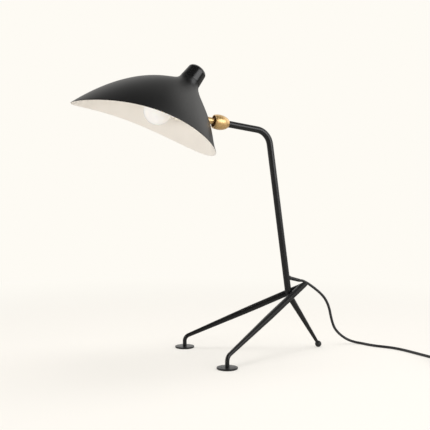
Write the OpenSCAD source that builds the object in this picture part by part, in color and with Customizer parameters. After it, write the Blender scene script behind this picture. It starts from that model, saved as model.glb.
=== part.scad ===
// Tripod table lamp. A bent tube stem stands in the fork of two front legs and on one rear leg.
// Its arm ends in a ball swivel that carries a pressed, asymmetric shade with an opal globe bulb.
// Millimetres, +Z up, the shade points along -X, and the floor is z = 0.

/* [Stem and arm] */
// Outside diameter of the stem and arm tube
stem_d = 12; // [10:0.5:14]
// Bore of the stem and arm tube
stem_bore = 9; // [7.5:0.5:9.5]
// Length of the stem from its foot to the corner of its axis with the arm's
stem_len = 303.9; // [240:1:380]
// Lean of the stem from upright, towards the front
stem_lean = 8.2; // [4:0.1:12]
// Height of the stem's foot, where the rear leg carries it
stem_foot_z = 103.5; // [90:0.5:120]
// Centreline radius of the elbow
elbow_r = 31; // [25:1:40]
// Length of the arm from the corner of the axes to the centre of the ball
arm_len = 103.5; // [80:0.5:140]
// Rise of the arm towards the shade
arm_rise = 8.5; // [4:0.5:14]

/* [Front legs] */
// Diameter of the front legs where they meet
leg_d = 12; // [10:0.5:14]
// Diameter of the front legs at the bend and the pin
leg_tip_d = 7.4; // [6.4:0.2:9]
// Share of a leg's length that isn't tapered
leg_plain_share = 0.45; // [0.3:0.05:0.7]
// Distance from the stem's foot forward to the leg pins
leg_reach = 169.4; // [140:1:200]
// Distance between the two leg pins
leg_spread = 192.8; // [160:1:230]
// Height at which the front legs' axes meet
apex_z = 117; // [112:0.5:124]
// Height of the corner between a leg's axis and its pin's
leg_corner_z = 20.7; // [16:0.5:26]
// Centreline radius of the bend above a foot
leg_bend_r = 12; // [9:0.5:14]
// Gap that the brazing fills between the stem and a front leg
braze_gap = 0.3; // [0.1:0.1:0.6]

/* [Rear leg] */
// Distance from the stem's foot back to the centre of the ball foot
rear_reach = 64.4; // [50:0.5:80]
// Diameter of the rear leg at the ball foot
rear_tip_d = 6; // [5:0.2:7.5]
// Diameter of the ball foot
ball_foot_d = 12; // [10:0.5:16]
// Diameter of the spigot that the ball foot is pressed on
rear_spigot_d = 4.4; // [3.6:0.2:4.8]

/* [Feet] */
// Diameter of a foot disc
disc_d = 36; // [28:1:44]
// Thickness of a foot disc
disc_t = 2.8; // [2:0.1:3.4]
// Diameter of the felt pad under a foot disc
pad_d = 33; // [26:1:40]
// Thickness of the felt pad
pad_t = 0.6; // [0.4:0.1:1.2]
// Thread diameter of the foot screws
foot_screw_d = 4; // [3:0.5:4.5]

/* [Swivel] */
// Diameter of the ball
ball_d = 18; // [17:0.2:18.4]
// Diameter of the neck behind the collar
neck_d = 10.4; // [9.8:0.2:10.4]
// Diameter of the threaded end of the ball stud
stud_d = 9; // [8:0.5:9.4]
// Bore through the ball stud for the lead
stud_bore = 6; // [5:0.5:6.4]
// Distance from the ball's centre to the shoulder of the stud
shoulder_a = 11; // [11:0.2:12]
// Length of the collar between that shoulder and the shade's wall, on the arm's axis
collar_len = 9.24247; // [8:0.00001:11]
// Distance from the ball's centre to the front end of the stud
stud_end_a = 44; // [42:0.5:48]
// Largest diameter of the cup
cup_d = 26; // [25.6:0.2:30]
// Half length of the ellipse that shapes the cup
cup_half_len = 22; // [21:0.5:24]
// Distance from the ball's centre to the cup's mouth
mouth_a = 6; // [6:0.1:6.6]
// Distance from the ball's centre back to the cup's rear end
cup_back_a = 24; // [22:0.5:25]
// Depth of the socket that takes the arm
arm_socket = 9; // [6:0.5:9]

/* [Shade] */
// Length of the shade's rim, front to back
shade_len = 268.7; // [220:1:300]
// Width of the shade's rim
shade_w = 167; // [140:1:190]
// Wall of the shade
shade_t = 1.2; // [1:0.1:2]
// Tilt of the rim from level, front up
shade_tilt = 18.8; // [10:0.1:26]
// Roll of the shade, near side up
shade_roll = 2.3; // [0:0.1:6]
// Distance from the ball forward to the middle of the rim
rim_mid_s = 122.7; // [115:0.5:130]
// Depth of the rim's lowest points below the ball
rim_drop = 59.6; // [54:0.5:66]
// Height that the rim arches at its sides
rim_arch = 21.5; // [10:0.5:30]
// How much the arch leans towards the front
arch_skew = 0.07; // [0:0.01:0.3]
// How much wider the rim is in front than behind
rim_egg = 0.017; // [0:0.001:0.1]
// Distance from the ball forward to the centre of the boss
boss_s = 70.1; // [66:0.1:76]
// Height of the boss above the ball
boss_h = 51.1; // [48:0.1:58]
// Lean of the boss towards the back
boss_lean = 20; // [12:1:26]
// Diameter of the boss under the knob
boss_d = 38.2; // [32:0.2:42]
// Depth over which the wall leaves the boss straight
boss_skirt = 18.2; // [12:0.2:24]

/* [Knob] */
// Diameter of the knob at its base
knob_d = 38.2; // [32:0.2:42]
// Diameter of the knob where its dome starts
knob_top_d = 34.6; // [30:0.2:38]
// Height at which the dome starts
knob_side_h = 20; // [14:0.1:24]
// Height of the knob
knob_h = 29.3; // [25:0.1:34]
// Thread diameter of the knob screw
knob_screw_d = 4; // [3:0.5:5]

/* [Lampholder and bulb] */
// Diameter of the lampholder
holder_d = 21.2; // [19:0.2:24]
// Distance from the ball's centre to the back of the lampholder
holder_a = 38; // [37:0.5:40]
// Length of the lampholder
holder_len = 42; // [38:0.5:44]
// Outside diameter of the bulb's screw cap
cap_d = 11.9; // [11.5:0.1:12]
// Diameter of the bulb's globe
globe_d = 50; // [45:1:54]
// Distance from the lampholder's mouth to the centre of the globe
globe_a = 32.4; // [30:0.2:38]

/* [Cord] */
// Diameter of the cord
cord_d = 5; // [4.6:0.1:5]
// Turns of the coil on each of its two layers
coil_turns = 3.375; // [3.375]
// Radius of the coil's outermost turn
coil_r = 38; // [37:0.5:39]
// Distance between turns, and between the two layers
coil_pitch = 5.5; // [5.5:0.05:5.6]

/* [Hidden] */
$fn = 64;
eps = 0.01;
// How far a cut runs past what it cuts, and the size of a block that cuts a whole end away
past = 1;
block = 160;
// Clearances: between pieces that are fixed together, of pieces that turn, and of screws in threads.
fixed_gap = 0.05;
turn_gap = 0.05;
thread_gap = 0.05;

// Vectors
function turn_y(a, p) = [p.x * cos(a) + p.z * sin(a), p.y, -p.x * sin(a) + p.z * cos(a)];
function turn_z(a, p) = [p.x * cos(a) - p.y * sin(a), p.x * sin(a) + p.y * cos(a), p.z];
function unit(v) = v / norm(v);

// The fork: the front legs' axes pass beside the stem, at a distance of two radii and the gap.
stem_foot = [0, 0, stem_foot_z];
stem_dir = [-sin(stem_lean), 0, cos(stem_lean)];
leg_corner = [-leg_reach, leg_spread / 2, leg_corner_z];
fork_dist = (stem_d + leg_d) / 2 + braze_gap;
fork_w = stem_foot - leg_corner;
fork_c = cross(stem_dir, [0, 0, apex_z] - leg_corner);
fork_e = cross(stem_dir, [1, 0, 0]);
fork_p = (fork_w * fork_e) ^ 2 - fork_dist ^ 2 * (fork_e * fork_e);
fork_q = (fork_w * fork_c) * (fork_w * fork_e) - fork_dist ^ 2 * (fork_c * fork_e);
fork_s = (fork_w * fork_c) ^ 2 - fork_dist ^ 2 * (fork_c * fork_c);
fork_roots = [for (k = [-1, 1]) (-fork_q + k * sqrt(fork_q ^ 2 - fork_p * fork_s)) / fork_p];
apex = [max(fork_roots), 0, apex_z];

// Front legs
leg_vec = leg_corner - apex;
leg_axis_len = norm(leg_vec);
leg_azimuth = atan2(leg_vec.y, leg_vec.x);
leg_drop = asin(-leg_vec.z / leg_axis_len);
leg_turn = 90 - leg_drop;
leg_bend_at = leg_axis_len - leg_bend_r * tan(leg_turn / 2);
leg_past = leg_d / 2 * leg_axis_len / leg_corner.y + past;
disc_top = pad_t + disc_t;
disc_edge = 0.5;
screw_head_d = 1.9 * foot_screw_d;
screw_head_h = (screw_head_d - foot_screw_d) / 2;
screw_end_gap = 0.4;
foot_key_d = 0.625 * foot_screw_d;
foot_key_h = 0.6 * screw_head_h;
pin_bore_top = leg_corner_z - leg_bend_r * tan(leg_turn / 2);

// Rear leg
rear_vec = [rear_reach, 0, ball_foot_d / 2 - stem_foot_z];
rear_axis_len = norm(rear_vec);
rear_lean = atan2(rear_reach, stem_foot_z - ball_foot_d / 2);
mitre_lean = (stem_lean + rear_lean) / 2;
spigot_depth = 0.3 * ball_foot_d;
flat_depth = 0.4;
ball_flat = rear_axis_len - ball_foot_d / 2 + flat_depth;

// Arm and ball
elbow_turn = 90 - arm_rise - stem_lean;
elbow_tangent = elbow_r * tan(elbow_turn / 2);
arm_dir = [-cos(arm_rise), 0, sin(arm_rise)];
ball_centre = stem_foot + stem_len * stem_dir + arm_len * arm_dir;
arm_end_a = cup_back_a - arm_socket;

// Swivel pieces, as distances in front of the ball's centre (a) and radii
ball_r = ball_d / 2;
liner_out_r = ball_r + 1.2;
cavity_r = liner_out_r + turn_gap;
cavity_bore_r = cavity_r - 0.35;
cavity_step_a = -4;
cavity_wall = 1;
cavity_back_a = cavity_wall - arm_end_a;
thread_r = cavity_r + 0.2;
thread_back_a = 2.5;
seat_ring_back_a = -12;
seat_flange_a = -10.6;
lead_r = 2;
lead_gap = 0.6;
lead_room = 1.1;
seat_bore_r = lead_r + lead_room;
collar_r = 6.2;
collar_bore_r = stud_d / 2 + turn_gap;

// Shade: the rim, the boss and the meridians between them
rim_mid_h = -rim_drop;
boss = [boss_s, 0, boss_h];
boss_axis = [-sin(boss_lean), 0, cos(boss_lean)];
boss_x = [cos(boss_lean), 0, sin(boss_lean)];
boss_y = [0, 1, 0];
// Control points of a meridian, as shares of the way out to the rim and of the way up to the boss,
// for the front, the side and the back of the shade
upper_front = [0.18, 0.957];
upper_side = [0.334, 0.805];
upper_back = [0.846, 0.514];
lower_front = [0.552, 0.935];
lower_side = [0.821, 0.361];
lower_back = [0.773, 0.194];
shade_sides = 48;
shade_rows = 18;
stud_hole_r = stud_d / 2 + 0.1;
knob_hole_r = knob_screw_d / 2 + 0.5;

function rim_at(u) = [
    rim_mid_s + shade_len / 2 * cos(u),
    shade_w / 2 * sin(u) * (1 + rim_egg * cos(u)),
    rim_mid_h + rim_arch * sin(u) ^ 2 * (1 + arch_skew * cos(u))
];
function blend3(ang, f, s, b) =
    let (wf = max(cos(ang), 0) ^ 2, wb = max(-cos(ang), 0) ^ 2)
    f * wf + b * wb + s * (1 - wf - wb);
function control(rim, share) =
    let (q = boss * (1 - share[0]) + rim * share[0])
    [q.x, q.y, rim.z + (boss.z - rim.z) * share[1]];
function bezier(p, t) =
    (1 - t) ^ 4 * p[0] + 4 * (1 - t) ^ 3 * t * p[1] + 6 * ((1 - t) * t) ^ 2 * p[2]
    + 4 * (1 - t) * t ^ 3 * p[3] + t ^ 4 * p[4];
function boss_ring(ang, r, h) = boss + r * (cos(ang) * boss_x + sin(ang) * boss_y) + h * boss_axis;
function rim_angle(u) = let (rim = rim_at(u)) atan2(rim.y, rim.x - boss.x);
function meridian(u) =
    let (rim = rim_at(u), ang = rim_angle(u))
    [
        boss_ring(ang, boss_d / 2, 0),
        boss_ring(ang, boss_d / 2, -boss_skirt),
        control(rim, blend3(ang, upper_front, upper_side, upper_back)),
        control(rim, blend3(ang, lower_front, lower_side, lower_back)),
        rim
    ];
function wall_at(u, t) = bezier(meridian(u), t);
step_u = 0.5;
step_t = 0.002;
function wall_normal(u, t) =
    let (
        along = wall_at(u, t) - wall_at(u, t - step_t),
        around = wall_at(u + step_u, t) - wall_at(u - step_u, t)
    )
    unit(cross(along, around));
function inner_at(u, t) = wall_at(u, t) - shade_t * wall_normal(u, t);

// From the shade's frame and from the arm's frame to the lamp's
function arm_to_lamp(p) = ball_centre + turn_y(-(90 - arm_rise), p);
function turned_to_arm(p) = turn_z(shade_roll, turn_y(90 - arm_rise + shade_tilt, turn_z(180, p)));
function shade_to_arm(p) = turned_to_arm(p) + [0, 0, shade_slide];
function lamp_x(p) = arm_to_lamp(shade_to_arm(p)).x;

// Where the arm's axis meets the shade's back wall, and the wall's slope there, by halving. The shade
// is slid along the arm until its wall sits on the collar.
function off_axis(t) = turned_to_arm(wall_at(180, t)).x;
function crossing(lo, hi, n) =
    n == 0 ? (lo + hi) / 2 :
    let (mid = (lo + hi) / 2)
    off_axis(mid) > 0 ? crossing(mid, hi, n - 1) : crossing(lo, mid, n - 1);
wall_t = crossing(0, 1, 24);
wall_a = shoulder_a + collar_len;
shade_slide = wall_a - turned_to_arm(wall_at(180, wall_t)).z;
wall_p = shade_to_arm(wall_at(180, wall_t));
wall_out = turned_to_arm(wall_normal(180, wall_t));
wall_n = turn_z(-shade_roll, wall_out);
wall_slope = atan2(-wall_n.x, -wall_n.z);

// How far the wall bulges from its tangent plane there, within a radius: outwards, and inwards
function spot(p) = let (v = p - wall_p, d = v * wall_out) [norm(v - d * wall_out), d];
wall_spots = [for (u = [168 : 2 : 192]) for (k = [-10 : 10])
    let (t = wall_t + 0.02 * k) [spot(shade_to_arm(wall_at(u, t))), spot(shade_to_arm(inner_at(u, t)))]];
function bulge_out(r) = max([for (w = wall_spots) if (w[0][0] < r) w[0][1]]);
function bulge_in(r) = -min([for (w = wall_spots) if (w[1][0] < r) w[1][1]]);
seat_gap = 0.15;

// The lamp is centred between its foremost and rearmost points.
lamp_front_x = min([for (u = [-20 : 1 : 20]) lamp_x(rim_at(u))]);
lamp_rear_x = rear_reach + ball_foot_d / 2;
centre_x = -(lamp_front_x + lamp_rear_x) / 2;

// Cord grommet, from a point on the stem's axis, pointing back and down
grommet_on_stem = 33;
grommet_drop = 15;
grommet_tip = 29.5;
grommet_flange_r = 4.4;
grommet_flange_h = 1.4;
grommet_root_r = 3.5;
grommet_tip_r = 2.95;
grommet_plug_h = 8;
grommet_bore_r = cord_d / 2 + fixed_gap;
grommet_hole_r = 3.6;
grommet_root = stem_foot + grommet_on_stem * stem_dir;

// Cord route from the grommet to the switch, chosen by hand. It lies on the floor from its 17th point.
grommet_dir = [cos(grommet_drop), 0, -sin(grommet_drop)];
cord_exit = grommet_root + grommet_tip * grommet_dir;
cord_points = [
    cord_exit,
    [30, 1.5, 127.6], [38, 5.5, 124.6], [48, 7, 119.2], [60, 6.6, 110.8], [72, 6, 101], [81, 6, 91.5],
    [87.5, 6, 81], [92, 6, 69.5], [95, 6, 57.5], [98.5, 6, 45], [104, 6, 32.5], [112, 5, 22.5],
    [122, 3, 14], [133, 0, 7.5], [144, -5.5, 3.6], [152.5, -17, 2.5], [157, -33, 2.5],
    [164, -48, 2.5], [173.5, -62, 2.5], [181.5, -76, 2.5], [187, -94, 2.5], [190, -114, 2.5],
    [192, -134, 2.5], [194, -152, 2.5], [196, -166, 2.5], [197, -176, 4.2], [197, -185, 7.2],
    [197, -191, 8.5], [197, -196, 8.5]
];
switch_start = [197, -196, 8.5];
switch_len = 60;
switch_w = 27;
switch_h = 17;
switch_centre = switch_start - [0, switch_len / 2, switch_start.z];
lead_points = [
    [197, -256, 8.5], [197, -261, 8.4], [198.6, -270, 7], [204, -278.5, 5.2], [213, -284.2, 4],
    [224, -286, 3.4], [237, -286, 3.4], [250, -286, 3.4]
];
coil_centre = [255, -248];
coil_z = 3.4;
coil_straight = 5;
coil_tail = 31;

// Coil: in on the lower layer, up a layer in the half turn where it reverses, out on the upper layer
coil_steps = 24;
coil_all_turns = 2 * coil_turns + 0.5;
function coil_radius(n) =
    coil_r - coil_pitch * (n < coil_turns + 0.25 ? n : coil_all_turns - n);
function coil_height(n) =
    coil_z + coil_pitch * min(1, max(0, (n - coil_turns) / 0.5));
function coil_at(n) = [
    coil_centre.x + coil_radius(n) * sin(360 * n),
    coil_centre.y - coil_radius(n) * cos(360 * n),
    coil_height(n)
];
coil_start_dir = [1, 0, 0];
coil_end_dir = [cos(360 * coil_all_turns), sin(360 * coil_all_turns), 0];
coil_points = concat(
    [coil_at(0) - coil_straight * coil_start_dir],
    [for (i = [0 : coil_steps * coil_all_turns]) coil_at(i / coil_steps)],
    [coil_at(coil_all_turns) + coil_tail * coil_end_dir]
);
plug_start = coil_points[len(coil_points) - 1];

// Least gap between turns, measured between centreline points more than half a turn apart
coil_gap = min([
    for (i = [1 : len(coil_points) - 2])
    for (j = [i + coil_steps / 2 : 1 : len(coil_points) - 2])
    norm(coil_points[i] - coil_points[j])
]) - cord_d;
echo(coil_gap = coil_gap);
function path_length(p) =
    norm(p[1] - p[0]) + (len(p) > 2 ? path_length([for (i = [1 : len(p) - 1]) p[i]]) : 0);

// Smooth curve through points, with n steps from each to the next
function curve(p, n) = let (
    last = len(p) - 1,
    q = concat([2 * p[0] - p[1]], p, [2 * p[last] - p[last - 1]])
) concat([
    for (i = [1 : last]) for (k = [0 : n - 1])
    let (t = k / n, a = q[i - 1], b = q[i], c = q[i + 1], d = q[i + 2])
    (2 * b + (c - a) * t + (2 * a - 5 * b + 4 * c - d) * t ^ 2 + (3 * b - a - 3 * c + d) * t ^ 3) / 2
], [p[last]]);
echo(
    power_cord_length = path_length(curve(cord_points, 2)),
    switch_lead_length = path_length(curve(lead_points, 2)),
    coil_length = path_length(coil_points)
);

// Tube swept along points: each ring is square to the path, and turned about it by a fixed direction.
// The end faces are square to the given directions, which are those of what they meet.
module sweep(p, d, sides, ref, start_dir, end_dir) {
    last = len(p) - 1;
    dirs = [for (i = [0 : last]) i == 0 ? start_dir : i == last ? end_dir : unit(p[i + 1] - p[i - 1])];
    rings = [
        for (i = [0 : last])
        let (side = unit(ref - (ref * dirs[i]) * dirs[i]), up = cross(dirs[i], side))
        for (k = [0 : sides - 1])
        p[i] + d / 2 * (cos(360 * k / sides) * side + sin(360 * k / sides) * up)
    ];
    walls = [
        for (i = [0 : last - 1]) for (k = [0 : sides - 1])
        let (a = i * sides + k, b = i * sides + (k + 1) % sides)
        for (f = [[a, a + sides, b + sides], [a, b + sides, b]]) f
    ];
    first_cap = [for (k = [0 : sides - 1]) k];
    last_cap = [for (k = [sides - 1 : -1 : 0]) last * sides + k];
    polyhedron(rings, concat(walls, [first_cap, last_cap]), convexity = 10);
}

// Moves into the frames that the pieces are drawn in
module centred() translate([centre_x, 0, 0]) children();
module stem_frame() translate(stem_foot) rotate([0, -stem_lean, 0]) rotate([0, 0, 180]) children();
module leg_frame(side) translate(apex) rotate([0, 90 + leg_drop, side * leg_azimuth]) children();
module foot_frame(side) translate([leg_corner.x, side * leg_corner.y, 0]) children();
module rear_frame() translate(stem_foot) rotate([0, 180 - rear_lean, 0]) children();
module mitre_frame() translate(stem_foot) rotate([0, -mitre_lean, 0]) children();
module grommet_frame() translate(grommet_root) rotate([0, 90 + grommet_drop, 0]) children();
module arm_frame() translate(ball_centre) rotate([0, arm_rise - 90, 0]) children();
module shade_frame() arm_frame() translate([0, 0, shade_slide]) rotate([0, 0, shade_roll])
    rotate([0, 90 - arm_rise + shade_tilt, 0]) rotate([0, 0, 180]) children();
module boss_frame() shade_frame() translate(boss) rotate([0, -boss_lean, 0]) children();
module wall_frame() arm_frame() rotate([0, 0, shade_roll]) translate([0, 0, wall_a])
    rotate([0, wall_slope, 0]) children();

// A round bar that comes along +z and bends towards +x. It is a hair thicker than its straight ends,
// which lap into it.
bend_swell = 0.04;
lap = 0.4;
module bend(r, turn, d) translate([r, 0, 0]) rotate([90, 0, 0]) rotate([0, 0, 180 - turn])
    rotate_extrude(angle = turn) translate([r, 0]) circle(d = d + bend_swell);
module past_bend(r, turn) translate([r - r * cos(turn), 0, r * sin(turn)]) rotate([0, turn, 0]) children();
module below(size) translate([-size / 2, -size / 2, -size]) cube(size);
module above(size) translate([-size / 2, -size / 2, 0]) cube(size);
module cone(d1, d2, h) cylinder(d1 = d1, d2 = d2, h = h);

// Stem, elbow and arm: one bent tube
module stem_run(d, end) {
    straight = stem_len - elbow_tangent;
    from = -stem_d;
    translate([0, 0, from]) cylinder(d = d, h = straight - from + lap);
    translate([0, 0, straight]) bend(elbow_r, elbow_turn, d);
    translate([0, 0, straight]) past_bend(elbow_r, elbow_turn) translate([0, 0, -lap])
        cylinder(d = d, h = arm_len - elbow_tangent - arm_end_a + lap + end);
}
module stem_tube() color([0.09, 0.09, 0.09]) difference() {
    stem_frame() stem_run(stem_d, 0);
    stem_frame() stem_run(stem_bore, past);
    mitre_frame() below(block);
    grommet_frame() cylinder(r = grommet_hole_r, h = stem_d);
}

// Front legs: mitred against each other at the apex, tapered, and bent down into a foot pin
module front_leg(side) color([0.09, 0.09, 0.09]) difference() {
    plain = leg_plain_share * leg_axis_len;
    union() {
        leg_frame(side) rotate_extrude() polygon([
            [0, -leg_past], [leg_d / 2, -leg_past], [leg_d / 2, plain],
            [leg_tip_d / 2, leg_bend_at], [leg_tip_d / 2, leg_bend_at + lap], [0, leg_bend_at + lap]
        ]);
        leg_frame(side) translate([0, 0, leg_bend_at]) bend(leg_bend_r, leg_turn, leg_tip_d);
        foot_frame(side) translate([0, 0, disc_top])
            cylinder(d = leg_tip_d, h = pin_bore_top - disc_top + lap);
    }
    translate([0, -side * block / 2, apex_z]) cube(block, center = true);
    foot_frame(side) translate([0, 0, disc_top - past])
        cylinder(d = foot_screw_d + 2 * thread_gap, h = pin_bore_top - disc_top + past);
}

// Rear leg: tapered, mitred under the stem, with a spigot for the ball foot
module rear_leg() color([0.09, 0.09, 0.09]) difference() {
    rear_frame() rotate_extrude() polygon([
        [0, -stem_d], [stem_d / 2, -stem_d], [stem_d / 2, 0], [rear_tip_d / 2, ball_flat],
        [rear_spigot_d / 2, ball_flat], [rear_spigot_d / 2, ball_flat + spigot_depth],
        [0, ball_flat + spigot_depth]
    ]);
    mitre_frame() above(block);
}
module rear_ball_foot() color([0.07, 0.07, 0.07]) rear_frame() difference() {
    translate([0, 0, rear_axis_len]) sphere(d = ball_foot_d);
    translate([0, 0, ball_flat - ball_foot_d]) cylinder(d = 2 * ball_foot_d, h = ball_foot_d);
    cylinder(d = rear_spigot_d + 2 * fixed_gap, h = ball_flat + spigot_depth + fixed_gap);
}

// Feet: a disc screwed under each pin, with a felt pad that hides the screw
module foot_disc(side) color([0.09, 0.09, 0.09]) foot_frame(side) translate([0, 0, pad_t]) difference() {
    rotate_extrude() polygon([
        [0, 0], [disc_d / 2 - disc_edge, 0], [disc_d / 2, disc_edge],
        [disc_d / 2, disc_t - disc_edge], [disc_d / 2 - disc_edge, disc_t], [0, disc_t]
    ]);
    translate([0, 0, -past]) cylinder(d = foot_screw_d + 2 * thread_gap, h = disc_t + 2 * past);
    cone(screw_head_d + 2 * thread_gap, foot_screw_d + 2 * thread_gap, screw_head_h);
}
module foot_pad(side) color([0.12, 0.12, 0.12]) foot_frame(side) cylinder(d = pad_d, h = pad_t);
module foot_screw(side) color([0.75, 0.75, 0.76]) foot_frame(side) translate([0, 0, pad_t]) difference() {
    union() {
        cone(screw_head_d, foot_screw_d, screw_head_h);
        cylinder(d = foot_screw_d, h = pin_bore_top - pad_t - screw_end_gap);
    }
    translate([0, 0, -past]) cylinder(d = foot_key_d, h = past + foot_key_h, $fn = 6);
}

// Grommet in the stem's back, tapered along the cord, and the lead that it lets in
flange_top = stem_d / 2 + grommet_flange_h;
module cord_grommet() color([0.07, 0.07, 0.07]) difference() {
    grommet_frame() union() {
        cylinder(r = grommet_hole_r - fixed_gap, h = grommet_plug_h);
        translate([0, 0, stem_bore / 2 - past])
            cylinder(r = grommet_flange_r, h = flange_top - stem_bore / 2 + past);
        translate([0, 0, flange_top - eps])
            cylinder(r1 = grommet_root_r, r2 = grommet_tip_r, h = grommet_tip - flange_top + eps);
    }
    stem_frame() cylinder(d = stem_bore, h = 2 * grommet_on_stem);
    difference() {
        stem_frame() cylinder(d = stem_d + 2 * fixed_gap, h = 2 * grommet_on_stem);
        grommet_frame() cylinder(r = grommet_hole_r - fixed_gap, h = stem_d);
    }
    grommet_frame() cylinder(r = grommet_bore_r, h = grommet_tip + past);
}
lead_turn = 90 - grommet_drop - stem_lean;
lead_bend_r = 5;
lead_tangent = lead_bend_r * tan(lead_turn / 2);
module lower_lead() color([0.85, 0.85, 0.83]) {
    climb = stem_len - grommet_on_stem - lead_tangent - elbow_tangent;
    union() {
        grommet_frame() translate([0, 0, stem_d / 2]) cylinder(d = cord_d, h = grommet_tip - stem_d / 2);
        grommet_frame() translate([0, 0, lead_tangent - lap / 4]) cylinder(r = lead_r, h = stem_d);
        translate(grommet_root) rotate([0, -(90 - grommet_drop), 0])
            translate([0, 0, -lead_tangent]) bend(lead_bend_r, lead_turn, 2 * lead_r);
        stem_frame() translate([0, 0, grommet_on_stem + lead_tangent - lap / 4])
            cylinder(r = lead_r, h = climb + 2 * lap);
        stem_frame() translate([0, 0, stem_len - elbow_tangent]) bend(elbow_r, elbow_turn, 2 * lead_r);
        arm_frame() translate([0, 0, elbow_tangent - arm_len - lap])
            cylinder(r = lead_r, h = arm_len - elbow_tangent - ball_r - lead_gap + lap);
    }
}

// Swivel cup: an egg-shaped brass housing that takes the arm behind and the retainer in front
cup_centre_a = -5;
cup_steps = 12;
function cup_radius(a) = cup_d / 2 * sqrt(1 - ((a - cup_centre_a) / cup_half_len) ^ 2);
module swivel_cup() color([0.8, 0.62, 0.3]) arm_frame() difference() {
    rotate_extrude() polygon(concat(
        [[0, -cup_back_a]],
        [for (i = [0 : cup_steps]) let (a = -cup_back_a + i * (mouth_a + cup_back_a) / cup_steps)
            [cup_radius(a), a]],
        [[0, mouth_a]]
    ));
    translate([0, 0, -cup_back_a - past]) cylinder(d = stem_d + 2 * fixed_gap, h = arm_socket + past);
    translate([0, 0, -arm_end_a - past]) cylinder(d = stem_bore, h = arm_end_a);
    translate([0, 0, cavity_back_a]) cylinder(r = cavity_bore_r, h = -cavity_back_a);
    intersection() {
        sphere(r = cavity_r);
        translate([0, 0, cavity_step_a]) cylinder(r = 2 * cavity_r, h = thread_back_a - cavity_step_a + eps);
    }
    translate([0, 0, thread_back_a]) cylinder(r = thread_r, h = mouth_a);
}
// Retainer: a ring screwed into the mouth, whose cone sets how far the neck may tilt
seat_step = 0.2;
retainer_flare = 1.2;
module swivel_retainer() {
    seat_a = thread_back_a + seat_step;
    seat_r = sqrt(ball_r ^ 2 - seat_a ^ 2) + turn_gap;
    color([0.8, 0.62, 0.3]) arm_frame() rotate_extrude() polygon([
        [seat_r, seat_a], [thread_r - thread_gap, seat_a], [thread_r - thread_gap, mouth_a],
        [seat_r + retainer_flare, mouth_a]
    ]);
}
// Rear seat: a dished ring that the disc spring presses against the ball
seat_cup_r = 5.2;
seat_cup_h = 4;
slide_gap = 0.1;
module swivel_seat() color([0.75, 0.75, 0.76]) arm_frame() difference() {
    union() {
        translate([0, 0, seat_flange_a]) cylinder(r = seat_cup_r, h = seat_cup_h);
        translate([0, 0, seat_ring_back_a])
            cylinder(r = cavity_bore_r - slide_gap, h = seat_flange_a - seat_ring_back_a);
    }
    translate([0, 0, cavity_back_a]) cylinder(r = seat_bore_r, h = -cavity_back_a);
    sphere(r = ball_r + turn_gap);
}
// Disc spring behind the seat
spring_t = 0.8;
spring_in_r = 5.6;
module swivel_spring() {
    room = seat_ring_back_a - cavity_back_a;
    spring_out_r = cavity_bore_r - 2 * slide_gap;
    color([0.6, 0.6, 0.6]) arm_frame() translate([0, 0, cavity_back_a]) rotate_extrude() polygon([
        [spring_in_r, room - spring_t - fixed_gap], [spring_in_r, room - fixed_gap],
        [spring_out_r, spring_t + fixed_gap], [spring_out_r, fixed_gap]
    ]);
}
// Friction liner: a spherical band that rides on the ball behind its equator
liner_front_a = -1.6;
liner_back_a = -4.6;
module friction_liner() color([0.9, 0.9, 0.85]) arm_frame() difference() {
    sphere(r = liner_out_r);
    sphere(r = ball_r + turn_gap);
    translate([0, 0, liner_front_a]) cylinder(r = ball_d, h = ball_d);
    translate([0, 0, liner_back_a - ball_d]) cylinder(r = ball_d, h = ball_d);
}

// Ball stud: ball, neck with a shoulder, and a threaded tube that passes through the shade
flare_h = 5;
module ball_stud() color([0.8, 0.62, 0.3]) arm_frame() difference() {
    union() {
        sphere(r = ball_r);
        cylinder(d = neck_d, h = shoulder_a);
        cylinder(d = stud_d, h = stud_end_a);
    }
    translate([0, 0, -ball_d]) cylinder(d = stud_bore, h = ball_d + stud_end_a + past);
    translate([0, 0, -ball_d]) cylinder(r1 = ball_d, r2 = stud_bore / 2, h = ball_d - ball_r + flare_h);
}
module upper_lead() color([0.85, 0.85, 0.83]) arm_frame()
    translate([0, 0, lead_gap - ball_r]) cylinder(r = lead_r, h = ball_r - lead_gap + stud_end_a);

// Collar and inner washer: wedges that match the slope of the shade's back wall
module shade_collar() color([0.8, 0.62, 0.3]) difference() {
    arm_frame() translate([0, 0, shoulder_a + turn_gap]) cylinder(r = collar_r, h = wall_a);
    arm_frame() cylinder(r = collar_bore_r, h = block);
    wall_frame() translate([0, 0, -bulge_out(collar_r + 1) - seat_gap]) above(block);
}
washer_r = 7.5;
washer_rise = 7;
washer_end_a = wall_a + washer_rise;
module inner_washer() color([0.75, 0.75, 0.76]) difference() {
    arm_frame() translate([0, 0, wall_a - washer_r]) cylinder(r = washer_r, h = washer_rise + washer_r);
    arm_frame() cylinder(r = collar_bore_r, h = block);
    wall_frame() translate([0, 0, bulge_in(washer_r + 1) + seat_gap]) below(block);
}
nut_r = 8;
nut_h = 4;
module neck_nut() color([0.75, 0.75, 0.76])
    arm_frame() translate([0, 0, washer_end_a + fixed_gap]) difference() {
        cylinder(r = nut_r, h = nut_h, $fn = 6);
        translate([0, 0, -past]) cylinder(r = collar_bore_r, h = nut_h + 2 * past);
    }

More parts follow.
